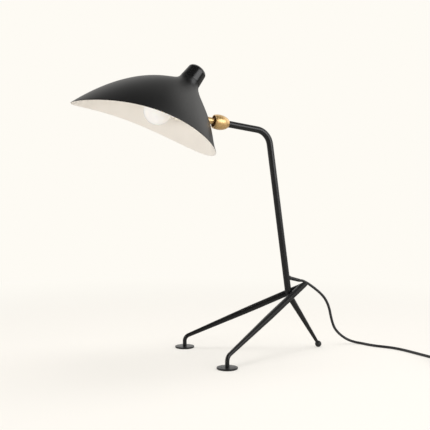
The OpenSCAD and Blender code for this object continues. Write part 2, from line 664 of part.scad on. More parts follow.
// Shade: a pressed shell, closed under the knob, as rings from the screw hole over the outside to the
// rim and back along the inside
module shade() {
    us = [for (i = [0 : shade_sides - 1]) 360 * i / shade_sides];
    ts = [for (j = [1 : shade_rows]) j / shade_rows];
    rings = concat(
        [[for (u = us) boss_ring(rim_angle(u), knob_hole_r, 0)]],
        [[for (u = us) boss_ring(rim_angle(u), boss_d / 2, 0)]],
        [for (t = ts) [for (u = us) wall_at(u, t)]],
        [for (j = [shade_rows - 1 : -1 : 0]) [for (u = us) inner_at(u, ts[j])]],
        [[for (u = us) boss_ring(rim_angle(u), boss_d / 2 - shade_t, -shade_t)]],
        [[for (u = us) boss_ring(rim_angle(u), knob_hole_r, -shade_t)]]
    );
    count = len(rings);
    faces = [
        for (j = [0 : count - 1]) for (i = [0 : shade_sides - 1])
        let (
            a = j * shade_sides + i, b = j * shade_sides + (i + 1) % shade_sides,
            c = ((j + 1) % count) * shade_sides + (i + 1) % shade_sides,
            d = ((j + 1) % count) * shade_sides + i
        )
        for (f = [[a, b, c], [a, c, d]]) f
    ];
    color([0.08, 0.08, 0.08]) difference() {
        shade_frame() polyhedron([for (r = rings) for (p = r) p], faces, convexity = 8);
        arm_frame() cylinder(r = stud_hole_r, h = 2 * wall_a);
    }
}
// Knob: a turned cap with a low dome, screwed to the boss from inside
knob_screw_grip = 11;
knob_key_d = 0.8 * knob_screw_d;
knob_head_h = 0.6 * knob_screw_d;
module shade_knob() {
    dome = knob_h - knob_side_h;
    color([0.05, 0.05, 0.05]) boss_frame() difference() {
        rotate_extrude() polygon(concat(
            [[0, 0], [knob_d / 2, 0]],
            [for (i = [0 : 9]) let (a = 10 * i)
                [knob_top_d / 2 * cos(a), knob_side_h + dome * sin(a)]],
            [[0, knob_h]]
        ));
        translate([0, 0, -past]) cylinder(d = knob_screw_d + 2 * thread_gap, h = knob_screw_grip + 2 * past);
    }
}
module knob_screw() color([0.75, 0.75, 0.76]) boss_frame() difference() {
    union() {
        translate([0, 0, -shade_t - fixed_gap]) cylinder(d = knob_screw_d, h = knob_screw_grip + shade_t);
        translate([0, 0, -shade_t - fixed_gap - knob_head_h]) cylinder(d = 2 * knob_screw_d, h = knob_head_h);
    }
    translate([0, 0, -shade_t - fixed_gap - knob_head_h - past])
        cylinder(d = knob_key_d, h = past + knob_key_d / 2, $fn = 6);
}

// Lampholder on the end of the ball stud, with its screw shell and centre contact
cap_gap = 0.25;
shell_r = cap_d / 2 + cap_gap;
shell_wall = 0.7;
holder_end_a = holder_a + holder_len;
holder_floor_a = stud_end_a + 2;
holder_neck_d = holder_d - 6;
holder_neck_len = 3;
holder_flare_len = 5;
cap_depth = 18.6;
cap_tip_a = holder_end_a - cap_depth;
globe_centre_a = holder_end_a + globe_a;
module holder_body() color([0.93, 0.9, 0.82]) arm_frame() difference() {
    translate([0, 0, holder_a]) rotate_extrude() polygon([
        [0, 0], [holder_neck_d / 2, 0], [holder_neck_d / 2, holder_neck_len],
        [holder_d / 2, holder_neck_len + holder_flare_len], [holder_d / 2, holder_len], [0, holder_len]
    ]);
    cylinder(r = collar_bore_r, h = holder_floor_a);
    translate([0, 0, holder_floor_a]) cylinder(r = shell_r + shell_wall + fixed_gap, h = holder_len);
}
shell_behind = 4;
shell_recess = 1;
module holder_shell() color([0.8, 0.62, 0.3]) arm_frame() difference() {
    translate([0, 0, cap_tip_a - shell_behind])
        cylinder(r = shell_r + shell_wall, h = cap_depth + shell_behind - shell_recess);
    cylinder(r = shell_r, h = 2 * holder_end_a);
}
contact_plate_t = 1;
contact_r = 2.2;
contact_gap = 0.1;
module holder_contact() color([0.8, 0.62, 0.3]) arm_frame() union() {
    translate([0, 0, holder_floor_a]) cylinder(r = shell_r + shell_wall, h = contact_plate_t);
    translate([0, 0, holder_floor_a]) cylinder(r = contact_r, h = cap_tip_a - holder_floor_a - contact_gap);
}

// Bulb: contact, screw cap, and an opal globe on a short neck
glass_t = 1;
cap_wall = 0.5;
neck_r = cap_d / 2 - cap_wall;
tip_r = 2.4;
tip_h = 1.2;
cap_cone_r = 3.2;
cap_cone_h = 2.6;
cap_thread_h = 14;
cap_floor_h = 3.2;
glass_from = 4.6;
collar_from = 17.9;
flare_from = 22;
flare_r = 9;
glass_collar_r = neck_r + 1.2;
module bulb_contact() color([0.7, 0.7, 0.7])
    arm_frame() translate([0, 0, cap_tip_a]) cylinder(r = tip_r, h = tip_h);
module bulb_cap() color([0.8, 0.8, 0.8]) arm_frame() translate([0, 0, cap_tip_a + tip_h]) difference() {
    union() {
        cylinder(r1 = cap_cone_r, r2 = cap_d / 2, h = cap_cone_h);
        translate([0, 0, cap_cone_h]) cylinder(d = cap_d, h = cap_thread_h);
    }
    translate([0, 0, cap_floor_h]) cylinder(r = neck_r + fixed_gap, h = cap_depth);
}
module bulb_globe() color([0.98, 0.97, 0.94]) arm_frame() difference() {
    neck_a = globe_centre_a - sqrt((globe_d / 2) ^ 2 - flare_r ^ 2);
    union() {
        translate([0, 0, globe_centre_a]) sphere(d = globe_d);
        translate([0, 0, cap_tip_a + glass_from]) cylinder(r = neck_r, h = collar_from);
        translate([0, 0, cap_tip_a + collar_from])
            cylinder(r = glass_collar_r, h = 2 * (flare_from - collar_from));
        translate([0, 0, cap_tip_a + flare_from])
            cylinder(r1 = glass_collar_r, r2 = flare_r, h = neck_a - cap_tip_a - flare_from);
    }
    translate([0, 0, globe_centre_a]) sphere(d = globe_d - 2 * glass_t);
    translate([0, 0, cap_tip_a]) cylinder(r = neck_r - glass_t, h = globe_centre_a - cap_tip_a);
}

// Cord, switch, coil and plug
module power_cord() color([0.06, 0.06, 0.06])
    sweep(curve(cord_points, 2), cord_d, 10, [1, 1, 1], grommet_dir, [0, -1, 0]);
module switch_lead() color([0.06, 0.06, 0.06])
    sweep(curve(lead_points, 2), cord_d, 10, [0, 0, 1], [0, -1, 0], coil_start_dir);
module cord_coil() color([0.06, 0.06, 0.06])
    sweep(coil_points, cord_d, 6, [0, 0, 1], coil_start_dir, coil_end_dir);

rocker_len = 16;
rocker_w = 10;
rocker_z = 12.4;
rocker_tip = 9;
rocker_pin_r = 1.2;
rocker_gap = 0.3;
rocker_pin_len = 1.8;
rocker_root = 4;
rocker_edge_h = 6.4;
rocker_waist_h = 4.6;
switch_split = 8.5;
case_round = 5;
case_foot = 1.5;
case_crown = 2;
screw_off = [8, 21];
screw_d = 3;
screw_cap_d = 5.2;
screw_len = 12;
screw_sunk = 0.4;
rocker_room = rocker_len / 2 + rocker_gap;
module switch_plan(inset) offset(r = case_round - inset)
    square([switch_w - 2 * case_round, switch_len - 2 * case_round], center = true);
module case_screw_holes(d, from, h)
    for (y = [-1, 1]) translate([screw_off.x, y * screw_off.y, from]) cylinder(d = d, h = h);
module rocker_well() translate([0, 0, rocker_z]) rotate([0, 90, 0])
    cylinder(r = rocker_room, h = rocker_w + 2 * rocker_gap, center = true);
module switch_case_bottom() color([0.07, 0.07, 0.07]) translate(switch_centre) difference() {
    hull() {
        linear_extrude(eps) switch_plan(case_foot);
        translate([0, 0, case_foot]) linear_extrude(switch_split - case_foot - fixed_gap) switch_plan(0);
    }
    case_screw_holes(screw_d + 2 * thread_gap, -past, switch_h);
    case_screw_holes(screw_cap_d + 4 * thread_gap, -past, past + screw_sunk + 2.1);
    rocker_well();
}
module switch_case_top() color([0.07, 0.07, 0.07]) translate(switch_centre) difference() {
    hull() {
        translate([0, 0, switch_split]) linear_extrude(switch_h - switch_split - case_crown) switch_plan(0);
        translate([0, 0, switch_h - eps]) linear_extrude(eps) switch_plan(case_crown);
    }
    case_screw_holes(
        screw_d + 2 * thread_gap, switch_split - past, screw_len + screw_sunk - switch_split + 2 * past
    );
    rocker_well();
    translate([-rocker_w / 2 - rocker_gap, -rocker_room, rocker_z])
        cube([rocker_w + 2 * rocker_gap, 2 * rocker_room, switch_h]);
    translate([0, 0, rocker_z]) rotate([0, 90, 0])
        cylinder(
            r = rocker_pin_r + turn_gap, h = rocker_w + 2 * rocker_pin_len + 2 * turn_gap, center = true
        );
}
module switch_rocker() color([0.12, 0.12, 0.12]) translate(switch_centre + [0, 0, rocker_z])
    rotate([-rocker_tip, 0, 0]) union() {
        rotate([90, 0, 90]) linear_extrude(rocker_w, center = true) intersection() {
            circle(d = rocker_len);
            polygon([
                [-rocker_len, -rocker_root], [rocker_len, -rocker_root], [rocker_len / 2, rocker_edge_h],
                [0, rocker_waist_h], [-rocker_len / 2, rocker_edge_h]
            ]);
        }
        rotate([0, 90, 0]) cylinder(r = rocker_pin_r, h = rocker_w + 2 * rocker_pin_len, center = true);
    }
module switch_screws() color([0.75, 0.75, 0.76]) translate(switch_centre)
    for (y = [-1, 1]) translate([screw_off.x, y * screw_off.y, screw_sunk]) difference() {
        union() {
            cylinder(d = screw_cap_d, h = 2);
            cylinder(d = screw_d, h = screw_len);
        }
        cube([4, 0.8, 1.6], center = true);
    }

// Tie: a flat strap round the coil's turns
tie_angle = 150;
tie_t = 0.8;
tie_w = 8;
tie_slack = 0.7;
module coil_tie() {
    inner_r = coil_r - coil_pitch * (coil_turns + 0.25) - cord_d / 2 - tie_slack;
    outer_r = coil_r + cord_d / 2 + tie_slack / 2;
    low = coil_z - cord_d / 2;
    high = coil_z + coil_pitch + cord_d / 2 + 0.1;
    color([0.06, 0.06, 0.06]) translate([coil_centre.x, coil_centre.y, 0]) rotate([0, 0, tie_angle])
        difference() {
            translate([inner_r - tie_t, -tie_w / 2, low - tie_t])
                cube([outer_r - inner_r + 2 * tie_t, tie_w, high - low + 2 * tie_t]);
            translate([inner_r, -tie_w, low - 0.05]) cube([outer_r - inner_r, 2 * tie_w, high - low + 0.1]);
        }
}

// Plug: a moulded two-blade body, tapered to the cord
plug_len = 34;
plug_w = 24;
plug_h = 15;
blade_w = 6.35;
blade_t = 1.5;
blade_pitch = 12.7;
blade_len = 16.5;
blade_root = 10.9;
blade_hole_d = 3.2;
blade_hole_at = 4;
boot_len = 10;
boot_t = [0.8, 1.6];
plug_nose = [12, 9];
plug_round = 4;
plug_shoulder = 18;
plug_turn = 360 * coil_all_turns - 90;
module plug_frame() translate(plug_start) rotate([0, 0, plug_turn]) children();
module plug_plan(w, h, r) offset(r = r) square([w - 2 * r, h - 2 * r], center = true);
module plug_body() color([0.06, 0.06, 0.06]) plug_frame() rotate([-90, 0, 0]) difference() {
    union() {
        cylinder(r1 = cord_d / 2 + boot_t[0], r2 = cord_d / 2 + boot_t[1], h = boot_len);
        hull() {
            translate([0, 0, boot_len - 2]) linear_extrude(1) plug_plan(plug_nose.x, plug_nose.y, plug_round);
            translate([0, 0, plug_shoulder]) linear_extrude(plug_len - plug_shoulder)
                plug_plan(plug_w, plug_h, plug_round);
        }
    }
    for (s = [-1, 1]) translate([s * blade_pitch / 2, 0, plug_len])
        cube(
            [blade_t + 2 * fixed_gap, blade_w + 2 * fixed_gap, 2 * blade_root + 2 * fixed_gap], center = true
        );
}
module plug_blades() color([0.8, 0.62, 0.3]) plug_frame() rotate([-90, 0, 0])
    for (s = [-1, 1]) translate([s * blade_pitch / 2, 0, plug_len - blade_root]) difference() {
        translate([-blade_t / 2, -blade_w / 2, 0]) cube([blade_t, blade_w, blade_root + blade_len]);
        translate([0, 0, blade_root + blade_len - blade_hole_at]) rotate([0, 90, 0])
            cylinder(d = blade_hole_d, h = blade_w, center = true);
    }

centred() stem_tube();
centred() front_leg(1);  // front_leg_left
centred() front_leg(-1);  // front_leg_right
centred() rear_leg();
centred() rear_ball_foot();
centred() foot_disc(1);  // foot_disc_left
centred() foot_disc(-1);  // foot_disc_right
centred() foot_pad(1);  // foot_pad_left
centred() foot_pad(-1);  // foot_pad_right
centred() foot_screw(1);  // foot_screw_left
centred() foot_screw(-1);  // foot_screw_right
centred() cord_grommet();
centred() lower_lead();
centred() swivel_cup();
centred() swivel_retainer();
centred() swivel_seat();
centred() swivel_spring();
centred() friction_liner();
centred() ball_stud();
centred() upper_lead();
centred() shade_collar();
centred() inner_washer();
centred() neck_nut();
centred() shade();
centred() shade_knob();
centred() knob_screw();
centred() holder_body();
centred() holder_shell();
centred() holder_contact();
centred() bulb_globe();
centred() bulb_cap();
centred() bulb_contact();
centred() power_cord();
centred() switch_case_top();
centred() switch_case_bottom();
centred() switch_rocker();
centred() switch_screws();
centred() switch_lead();
centred() cord_coil();
centred() coil_tie();
centred() plug_body();
centred() plug_blades();
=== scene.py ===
from math import asin, atan2, copysign, cos, degrees, pi, radians, sin, sqrt, tan

import bpy
import numpy as np
from mathutils import Matrix, Vector


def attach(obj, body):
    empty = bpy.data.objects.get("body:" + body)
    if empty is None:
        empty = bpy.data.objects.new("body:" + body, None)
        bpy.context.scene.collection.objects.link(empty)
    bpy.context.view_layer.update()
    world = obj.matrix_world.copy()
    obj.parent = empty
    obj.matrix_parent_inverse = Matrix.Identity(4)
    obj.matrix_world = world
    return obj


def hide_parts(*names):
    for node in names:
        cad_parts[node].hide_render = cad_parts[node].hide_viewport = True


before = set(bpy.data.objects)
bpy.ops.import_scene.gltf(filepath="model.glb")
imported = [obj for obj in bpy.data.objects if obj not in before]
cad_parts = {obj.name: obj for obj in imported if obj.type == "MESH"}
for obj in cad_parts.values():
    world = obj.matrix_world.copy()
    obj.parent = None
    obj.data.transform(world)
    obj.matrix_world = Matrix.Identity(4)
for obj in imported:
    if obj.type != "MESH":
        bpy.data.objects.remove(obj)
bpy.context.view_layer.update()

# Sizes are in millimetres, as in the part's source, and become metres where a mesh is made.
MM = 0.001
LAMP_X = 168.925

# ---- sizes of the lamp
STEM_D = 12
STEM_BORE = 9
STEM_LEN = 303.9
STEM_LEAN = 8.2
ELBOW_R = 31
ARM_LEN = 103.5
ARM_RISE = 8.5
ARM_END_A = 15
LEG_D = 12
LEG_TIP_D = 7.4
LEG_PLAIN_SHARE = 0.45
LEG_BEND_R = 12
DISC_TOP = 3.4
DISC_D = 36
PAD_D = 33
PAD_T = 0.6
REAR_TIP_D = 6
BALL_FOOT_D = 12
BALL_R = 9
NECK_D = 10.4
STUD_D = 9
STUD_BORE = 6
STUD_END_A = 44
SHOULDER_A = 11
CUP_D = 27
CUP_HALF_LEN = 21.7
CUP_CENTRE_A = -3.2
CUP_BACK_A = -22.1
MOUTH_A = 6.6
COLLAR_R = 6.2
HOLDER_D = 21.2
HOLDER_A = 38
HOLDER_END_A = 80
CAP_D = 11.9
CAP_TIP_A = HOLDER_END_A - 18.6
GLOBE_D = 50
GLOBE_A = 112.4
SHADE_LEN = 268.7
SHADE_W = 167
SHADE_T = 1.2
SHADE_TILT = 18.8
SHADE_ROLL = 2.3
RIM_MID_S = 122.7
RIM_DROP = 59.6
RIM_ARCH = 21.5
ARCH_SKEW = 0.07
RIM_EGG = 0.017
BOSS_LEAN = 20
BOSS_R = 19.1
BOSS_SKIRT = 18.2
KNOB_D = 38.2
KNOB_TOP_D = 34.6
KNOB_SIDE_H = 20
KNOB_H = 29.3
CORD_D = 5

# ---- places
STEM_FOOT = Vector((0, 0, 103.5))
STEM_DIR = Vector((-sin(radians(STEM_LEAN)), 0, cos(radians(STEM_LEAN))))
ARM_DIR = Vector((-cos(radians(ARM_RISE)), 0, sin(radians(ARM_RISE))))
BALL = STEM_FOOT + STEM_LEN * STEM_DIR + ARM_LEN * ARM_DIR
APEX = Vector((27.7044, 0, 117))
LEG_CORNER = Vector((-169.4, 96.4, 20.7))
REAR_BALL = Vector((64.4, 0, BALL_FOOT_D / 2))
BOSS = Vector((70.1, 0, 51.1))
GROMMET_ON_STEM = 33
GROMMET_DROP = 15
GROMMET_TIP = 29.5
GROMMET_RIBS = 6
WALL_A = 20.2425
WALL_SLOPE = -25.4317


def place(point):
    return Matrix.Translation(Vector(point))


def turned(axis, angle):
    return Matrix.Rotation(radians(angle), 4, axis)


LAMP = place((LAMP_X, 0, 0))
ARM = LAMP @ place(BALL) @ turned("Y", ARM_RISE - 90)
SHADE = ARM @ turned("Z", SHADE_ROLL) @ turned("Y", 90 - ARM_RISE + SHADE_TILT) @ turned("Z", 180)
BOSS_TOP = SHADE @ place(BOSS) @ turned("Y", -BOSS_LEAN)
WALL = ARM @ turned("Z", SHADE_ROLL) @ place((0, 0, WALL_A)) @ turned("Y", WALL_SLOPE)
GROMMET = LAMP @ place(STEM_FOOT + GROMMET_ON_STEM * STEM_DIR) @ turned("Y", 90 + GROMMET_DROP)


# ---- meshes
SMOOTH_ANGLE = 35
TUBE_SIDES = 64
THREAD_SIDES = 64
THREAD_ROWS = 10
THREAD_FADE = 4


def in_metres(matrix):
    """The same frame with its place in metres."""
    made = matrix.copy()
    made.translation = matrix.translation * MM
    return made


def add_object(name, data):
    """A new object in the scene."""
    made = bpy.data.objects.new(name, data)
    bpy.context.scene.collection.objects.link(made)
    return made


def solid(name, points, faces, at=LAMP, smooth_angle=SMOOTH_ANGLE):
    """A mesh object from points in millimetres in the frame at."""
    mesh = bpy.data.meshes.new(name)
    mesh.from_pydata([tuple(MM * float(c) for c in p) for p in points], [], faces)
    mesh.validate()
    for face in mesh.polygons:
        face.use_smooth = True
    mesh.set_sharp_from_angle(angle=radians(smooth_angle))
    piece = add_object(name, mesh)
    piece.matrix_world = in_metres(at)
    return piece


def skin(rings, closed=False):
    """Points and faces of a surface through rings of equal count. A ring of one point is a pole."""
    points = []
    starts = []
    for ring in rings:
        starts.append(len(points))
        points.extend(ring)
    sides = max(len(ring) for ring in rings)
    faces = []
    pairs = list(zip(range(len(rings) - 1), range(1, len(rings))))
    if closed:
        pairs.append((len(rings) - 1, 0))
    for i, j in pairs:
        for k in range(sides):
            n = (k + 1) % sides
            a, b = starts[i], starts[j]
            if len(rings[i]) == 1:
                faces.append((a, b + k, b + n))
            elif len(rings[j]) == 1:
                faces.append((a + k, b, a + n))
            else:
                faces.append((a + k, b + k, b + n, a + n))
    return points, faces


def shell(name, rings, at, closed=False, smooth_angle=SMOOTH_ANGLE):
    """A mesh object through rings that turn counter-clockwise as seen from the last one."""
    points, faces = skin(rings, closed)
    return solid(name, points, [tuple(reversed(f)) for f in faces], at, smooth_angle)


def capped(rings):
    """The rings with a pole at the axis before the first and after the last."""
    return [[(0, 0, rings[0][0][2])]] + rings + [[(0, 0, rings[-1][0][2])]]


def ring_at(r, z, sides):
    """A circle of points round the axis."""
    turns = [2 * pi * k / sides for k in range(sides)]
    return [(r * cos(t), r * sin(t), z) for t in turns]


def arc(r, start, end, steps, height=0):
    """Profile points round an arc, from start to end in degrees above its widest place."""
    turns = [radians(start + (end - start) * k / steps) for k in range(steps + 1)]
    return [(r * cos(t), height + r * sin(t)) for t in turns]


def arc_through(corner, before, after, radius, steps):
    """Points of the arc that rounds the corner between two other points."""
    here, a, b = Vector(corner), Vector(before), Vector(after)
    a = (a - here).normalized()
    b = (b - here).normalized()
    half = a.angle(b) / 2
    centre = here + (a + b).normalized() * radius / sin(half)
    start = (here + a * radius / tan(half) - centre).normalized()
    end = (here + b * radius / tan(half) - centre).normalized()
    return [centre + start.slerp(end, k / steps) * radius for k in range(steps + 1)]


def rounded(corners, steps=4):
    """A profile through corners (radius, height, rounding), with an arc at each rounded corner."""
    line = []
    for i, corner in enumerate(corners):
        if len(corner) < 3:
            line.append(tuple(corner))
            continue
        after = corners[(i + 1) % len(corners)]
        curve = arc_through(corner[:2], corners[i - 1][:2], after[:2], corner[2], steps)
        line.extend(tuple(p) for p in curve)
    return line


def lathe(name, profile, at, closed=False, sides=96, smooth_angle=SMOOTH_ANGLE):
    """A turned piece from (radius, height) points, which go up its outside from the axis or round it."""
    rings = [[(0, 0, z)] if r < 1e-6 else ring_at(r, z, sides) for r, z in profile]
    return shell(name, rings, at, closed, smooth_angle)


def path_rings(line, radii, start_plane):
    """Round rings square to a line, the first one slid along the line onto a plane (point, normal)."""
    last = len(line) - 1
    rings = []
    side = None
    for i, p in enumerate(line):
        ahead = (line[min(i + 1, last)] - line[max(i - 1, 0)]).normalized()
        if side is None:
            side = ahead.orthogonal().normalized()
        side = (side - side.dot(ahead) * ahead).normalized()
        up = ahead.cross(side)
        ring = []
        for k in range(TUBE_SIDES):
            turn = 2 * pi * k / TUBE_SIDES
            ring.append(p + radii[i] * (cos(turn) * side + sin(turn) * up))
        rings.append(ring)
    along = (line[1] - line[0]).normalized()
    on, normal = map(Vector, start_plane)
    rings[0] = [q + along * ((on - q).dot(normal) / along.dot(normal)) for q in rings[0]]
    return rings


def smooth_line(points, steps):
    """Smooth curve through points, with the same formula as the part's source."""
    p = [Vector(q) for q in points]
    p = [2 * p[0] - p[1]] + p + [2 * p[-1] - p[-2]]
    line = []
    for i in range(1, len(p) - 2):
        a, b, c, d = p[i - 1 : i + 3]
        for k in range(steps):
            t = k / steps
            line.append(
                (2 * b + (c - a) * t + (2 * a - 5 * b + 4 * c - d) * t**2
                 + (3 * b - a - 3 * c + d) * t**3) / 2
            )
    line.append(p[-2])
    return line


def threaded(name, outer_r, depth, pitch, start, end, at, bore=0):
    """A round thread: a rod or tube whose outside rises and falls by depth along a helix."""
    rings = [[(0, 0, start)]] if bore == 0 else []
    rows = int((end - start) / pitch * THREAD_ROWS)
    for j in range(rows + 1):
        z = start + (end - start) * j / rows
        fade = min(1, THREAD_FADE * min(j, rows - j) / THREAD_ROWS)
        ring = []
        for k in range(THREAD_SIDES):
            turn = 2 * pi * k / THREAD_SIDES
            wave = 0.5 - 0.5 * cos(2 * pi * (z - start) / pitch - turn)
            r = outer_r - depth * wave * fade
            ring.append((r * cos(turn), r * sin(turn), z))
        rings.append(ring)
    if bore == 0:
        rings.append([(0, 0, end)])
    else:
        rings += [ring_at(bore, z, THREAD_SIDES) for z in (end, start)]
    return shell(name, rings, at, closed=bore != 0)


def rod(name, r, start, end, at, sides=96):
    """A plain cylinder along the axis."""
    return lathe(name, [(0, start), (r, start), (r, end), (0, end)], at, sides=sides)


def settle(piece):
    """Puts the piece's place into its mesh, so that its box is no larger than the piece."""
    piece.data.transform(piece.matrix_world)
    piece.matrix_world = Matrix.Identity(4)
    return piece


def cut(piece, tools):
    """Takes each tool out of a piece, and the tools away."""
    for tool in tools:
        change = piece.modifiers.new(tool.name, "BOOLEAN")
        change.operation = "DIFFERENCE"
        change.solver = "EXACT"
        change.object = tool
    bpy.context.view_layer.update()
    graph = bpy.context.evaluated_depsgraph_get()
    made = bpy.data.meshes.new_from_object(piece.evaluated_get(graph))
    piece.modifiers.clear()
    piece.data = made
    for tool in tools:
        bpy.data.objects.remove(tool)


def wear(piece, material, body, slot, *nodes):
    """Gives a piece its material, the body that it rides on, and the nodes that it stands for."""
    piece.data.materials.append(material)
    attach(piece, body)
    if nodes:
        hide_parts(*nodes)
    return piece


def line_with(piece, material, is_lined):
    """Gives a second material to the faces for which the test holds."""
    piece.data.materials.append(material)
    for face in piece.data.polygons:
        if is_lined(face):
            face.material_index = 1


# ---- camera
FOCAL_PX = 850
FRAME_PX = 430
SENSOR = 36
CAMERA_PLACE = (-0.589675, -1.3826, 0.3297)
CAMERA_AHEAD = Vector((0.4027, 0.9140, -0.0497))
CAMERA_REACH = 30


def make_camera():
    data = bpy.data.cameras.new("camera")
    data.sensor_width = SENSOR
    data.lens = FOCAL_PX / FRAME_PX * SENSOR
    data.clip_end = CAMERA_REACH
    camera = add_object("camera", data)
    turn = CAMERA_AHEAD.to_track_quat("-Z", "Y")
    camera.matrix_world = Matrix.Translation(CAMERA_PLACE) @ turn.to_matrix().to_4x4()
    bpy.context.scene.camera = camera


make_camera()


# ---- shader groups
FLOAT = "NodeSocketFloat"
COLOR = "NodeSocketColor"
# Inputs and outputs of both groups that make fine marks and a slow drift
MARKS_SOCKETS = ([(FLOAT, "Fine Scale", 900.0), (FLOAT, "Slow Scale", 14.0)],
                 [(FLOAT, "Fine"), (FLOAT, "Slow")])


def link(start, end):
    """Links one socket to another in the tree that they are in."""
    end.id_data.links.new(start, end)


def add(tree, kind):
    """A new shader node of one kind."""
    return tree.nodes.new("ShaderNode" + kind)


def set_inputs(node, **values):
    """Sets or links sockets of a node by their names, with _ for each space."""
    for label, value in values.items():
        target = node.inputs[label.replace("_", " ")]
        if isinstance(value, bpy.types.NodeSocket):
            link(value, target)
        else:
            target.default_value = value


def new_group(name, inputs, outputs):
    """An empty group with inputs (kind, name, value) and outputs (kind, name)."""
    tree = bpy.data.node_groups.new(name, "ShaderNodeTree")
    for kind, label, value in inputs:
        made = tree.interface.new_socket(name=label, in_out="INPUT", socket_type=kind)
        made.default_value = value
    for kind, label in outputs:
        tree.interface.new_socket(name=label, in_out="OUTPUT", socket_type=kind)
    return tree, tree.nodes.new("NodeGroupInput"), tree.nodes.new("NodeGroupOutput")


def noise_node(tree, where, scale, detail, rough=0.5):
    """A noise over the vector where. Gives its output."""
    node = add(tree, "TexNoise")
    set_inputs(node, Vector=where, Scale=scale, Detail=detail, Roughness=rough)
    return node.outputs["Fac"]


def maths(tree, operation, a, b=None, clamp=False):
    node = add(tree, "Math")
    node.operation = operation
    node.use_clamp = clamp
    for slot_index, value in enumerate((a, b)):
        if value is None:
            continue
        if isinstance(value, (int, float)):
            node.inputs[slot_index].default_value = value
        else:
            link(value, node.inputs[slot_index])
    return node.outputs[0]


def make_grain_group():
    """Fine skin of paint or moulded plastic: a fine height and a slow drift, both about 0.5."""
    tree, given, out = new_group("FineGrain", *MARKS_SOCKETS)
    where = add(tree, "TexCoord")
    for scale, label, detail in (("Fine Scale", "Fine", 2.0), ("Slow Scale", "Slow", 4.0)):
        noise = noise_node(tree, where.outputs["Object"], given.outputs[scale], detail)
        link(noise, out.inputs[label])
    return tree


def make_brushed_group():
    """Marks of turning and polishing: fine lines round the axis of the piece, with a slow drift."""
    tree, given, out = new_group("TurnedLines", *MARKS_SOCKETS)
    where = add(tree, "TexCoord")
    parts = add(tree, "SeparateXYZ")
    link(where.outputs["Object"], parts.inputs[0])
    height = maths(tree, "MULTIPLY", parts.outputs["Z"], given.outputs["Fine Scale"])
    low = maths(tree, "MULTIPLY", parts.outputs["X"], given.outputs["Slow Scale"])
    stretched = add(tree, "CombineXYZ")
    set_inputs(stretched, X=low, Z=height)
    lines = noise_node(tree, stretched.outputs[0], scale=1, detail=3.0, rough=0.6)
    slow = noise_node(tree, where.outputs["Object"], given.outputs["Slow Scale"], detail=3.0)
    set_inputs(out, Fine=lines, Slow=slow)
    return tree


def make_tint_group():
    """Two shades of one colour, mixed by a factor that is stretched about its middle."""
    tree, given, out = new_group(
        "TwoTones",
        [
            (FLOAT, "Factor", 0.5),
            (COLOR, "Dark", (0, 0, 0, 1)),
            (COLOR, "Light", (1, 1, 1, 1)),
            (FLOAT, "Contrast", 2.0),
        ],
        [(COLOR, "Color")],
    )
    off = maths(tree, "SUBTRACT", given.outputs["Factor"], 0.5)
    wide = maths(tree, "MULTIPLY", off, given.outputs["Contrast"])
    factor = maths(tree, "ADD", wide, 0.5, clamp=True)
    mix = add(tree, "Mix")
    mix.data_type = "RGBA"
    set_inputs(mix, Factor=factor, A=given.outputs["Dark"], B=given.outputs["Light"])
    link(mix.outputs["Result"], out.inputs["Color"])
    return tree


def make_spread_group():
    """A value that runs from Low to High as a factor goes from 0 to 1."""
    tree, given, out = new_group(
        "Spread",
        [(FLOAT, "Factor", 0.5), (FLOAT, "Low", 0.3), (FLOAT, "High", 0.5)],
        [(FLOAT, "Value")],
    )
    room = maths(tree, "SUBTRACT", given.outputs["High"], given.outputs["Low"])
    part = maths(tree, "MULTIPLY", room, given.outputs["Factor"])
    link(maths(tree, "ADD", part, given.outputs["Low"]), out.inputs["Value"])
    return tree


GRAIN = make_grain_group()
BRUSHED = make_brushed_group()
TINT = make_tint_group()
SPREAD = make_spread_group()


# ---- materials
def use_group(tree, group, **values):
    """A node that stands for a group, with its inputs set or linked."""
    node = add(tree, "Group")
    node.node_tree = group
    set_inputs(node, **values)
    return node


def rgba(tone):
    """An opaque colour from red, green and blue, or from one value of grey."""
    return (tone, tone, tone, 1) if isinstance(tone, float) else (*tone, 1)


def base_shader(name):
    """A new material, its tree and its main shader."""
    material = bpy.data.materials.new(name)
    material.use_nodes = True
    tree = material.node_tree
    return material, tree, tree.nodes["Principled BSDF"]


def finish(name, dark, light, rough, bump, turned_marks=False, contrast=2.0, fine=3200.0, slow=14.0,
           metallic=0.0, depth=5e-6, **more):
    """A material whose colour and roughness drift between two tones, with a fine bump."""
    material, tree, bsdf = base_shader(name)
    set_inputs(bsdf, Metallic=metallic, **more)
    marks = use_group(tree, BRUSHED if turned_marks else GRAIN, Fine_Scale=fine, Slow_Scale=slow)
    drift = marks.outputs["Slow"]
    tone = use_group(tree, TINT, Factor=drift, Dark=rgba(dark), Light=rgba(light),
                     Contrast=contrast)
    gloss = use_group(tree, SPREAD, Factor=drift, Low=rough[0], High=rough[1])
    relief = add(tree, "Bump")
    set_inputs(relief, Strength=bump, Distance=depth, Height=marks.outputs["Fine"])
    set_inputs(bsdf, Base_Color=tone.outputs["Color"], Roughness=gloss.outputs["Value"],
               Normal=relief.outputs["Normal"])
    return material


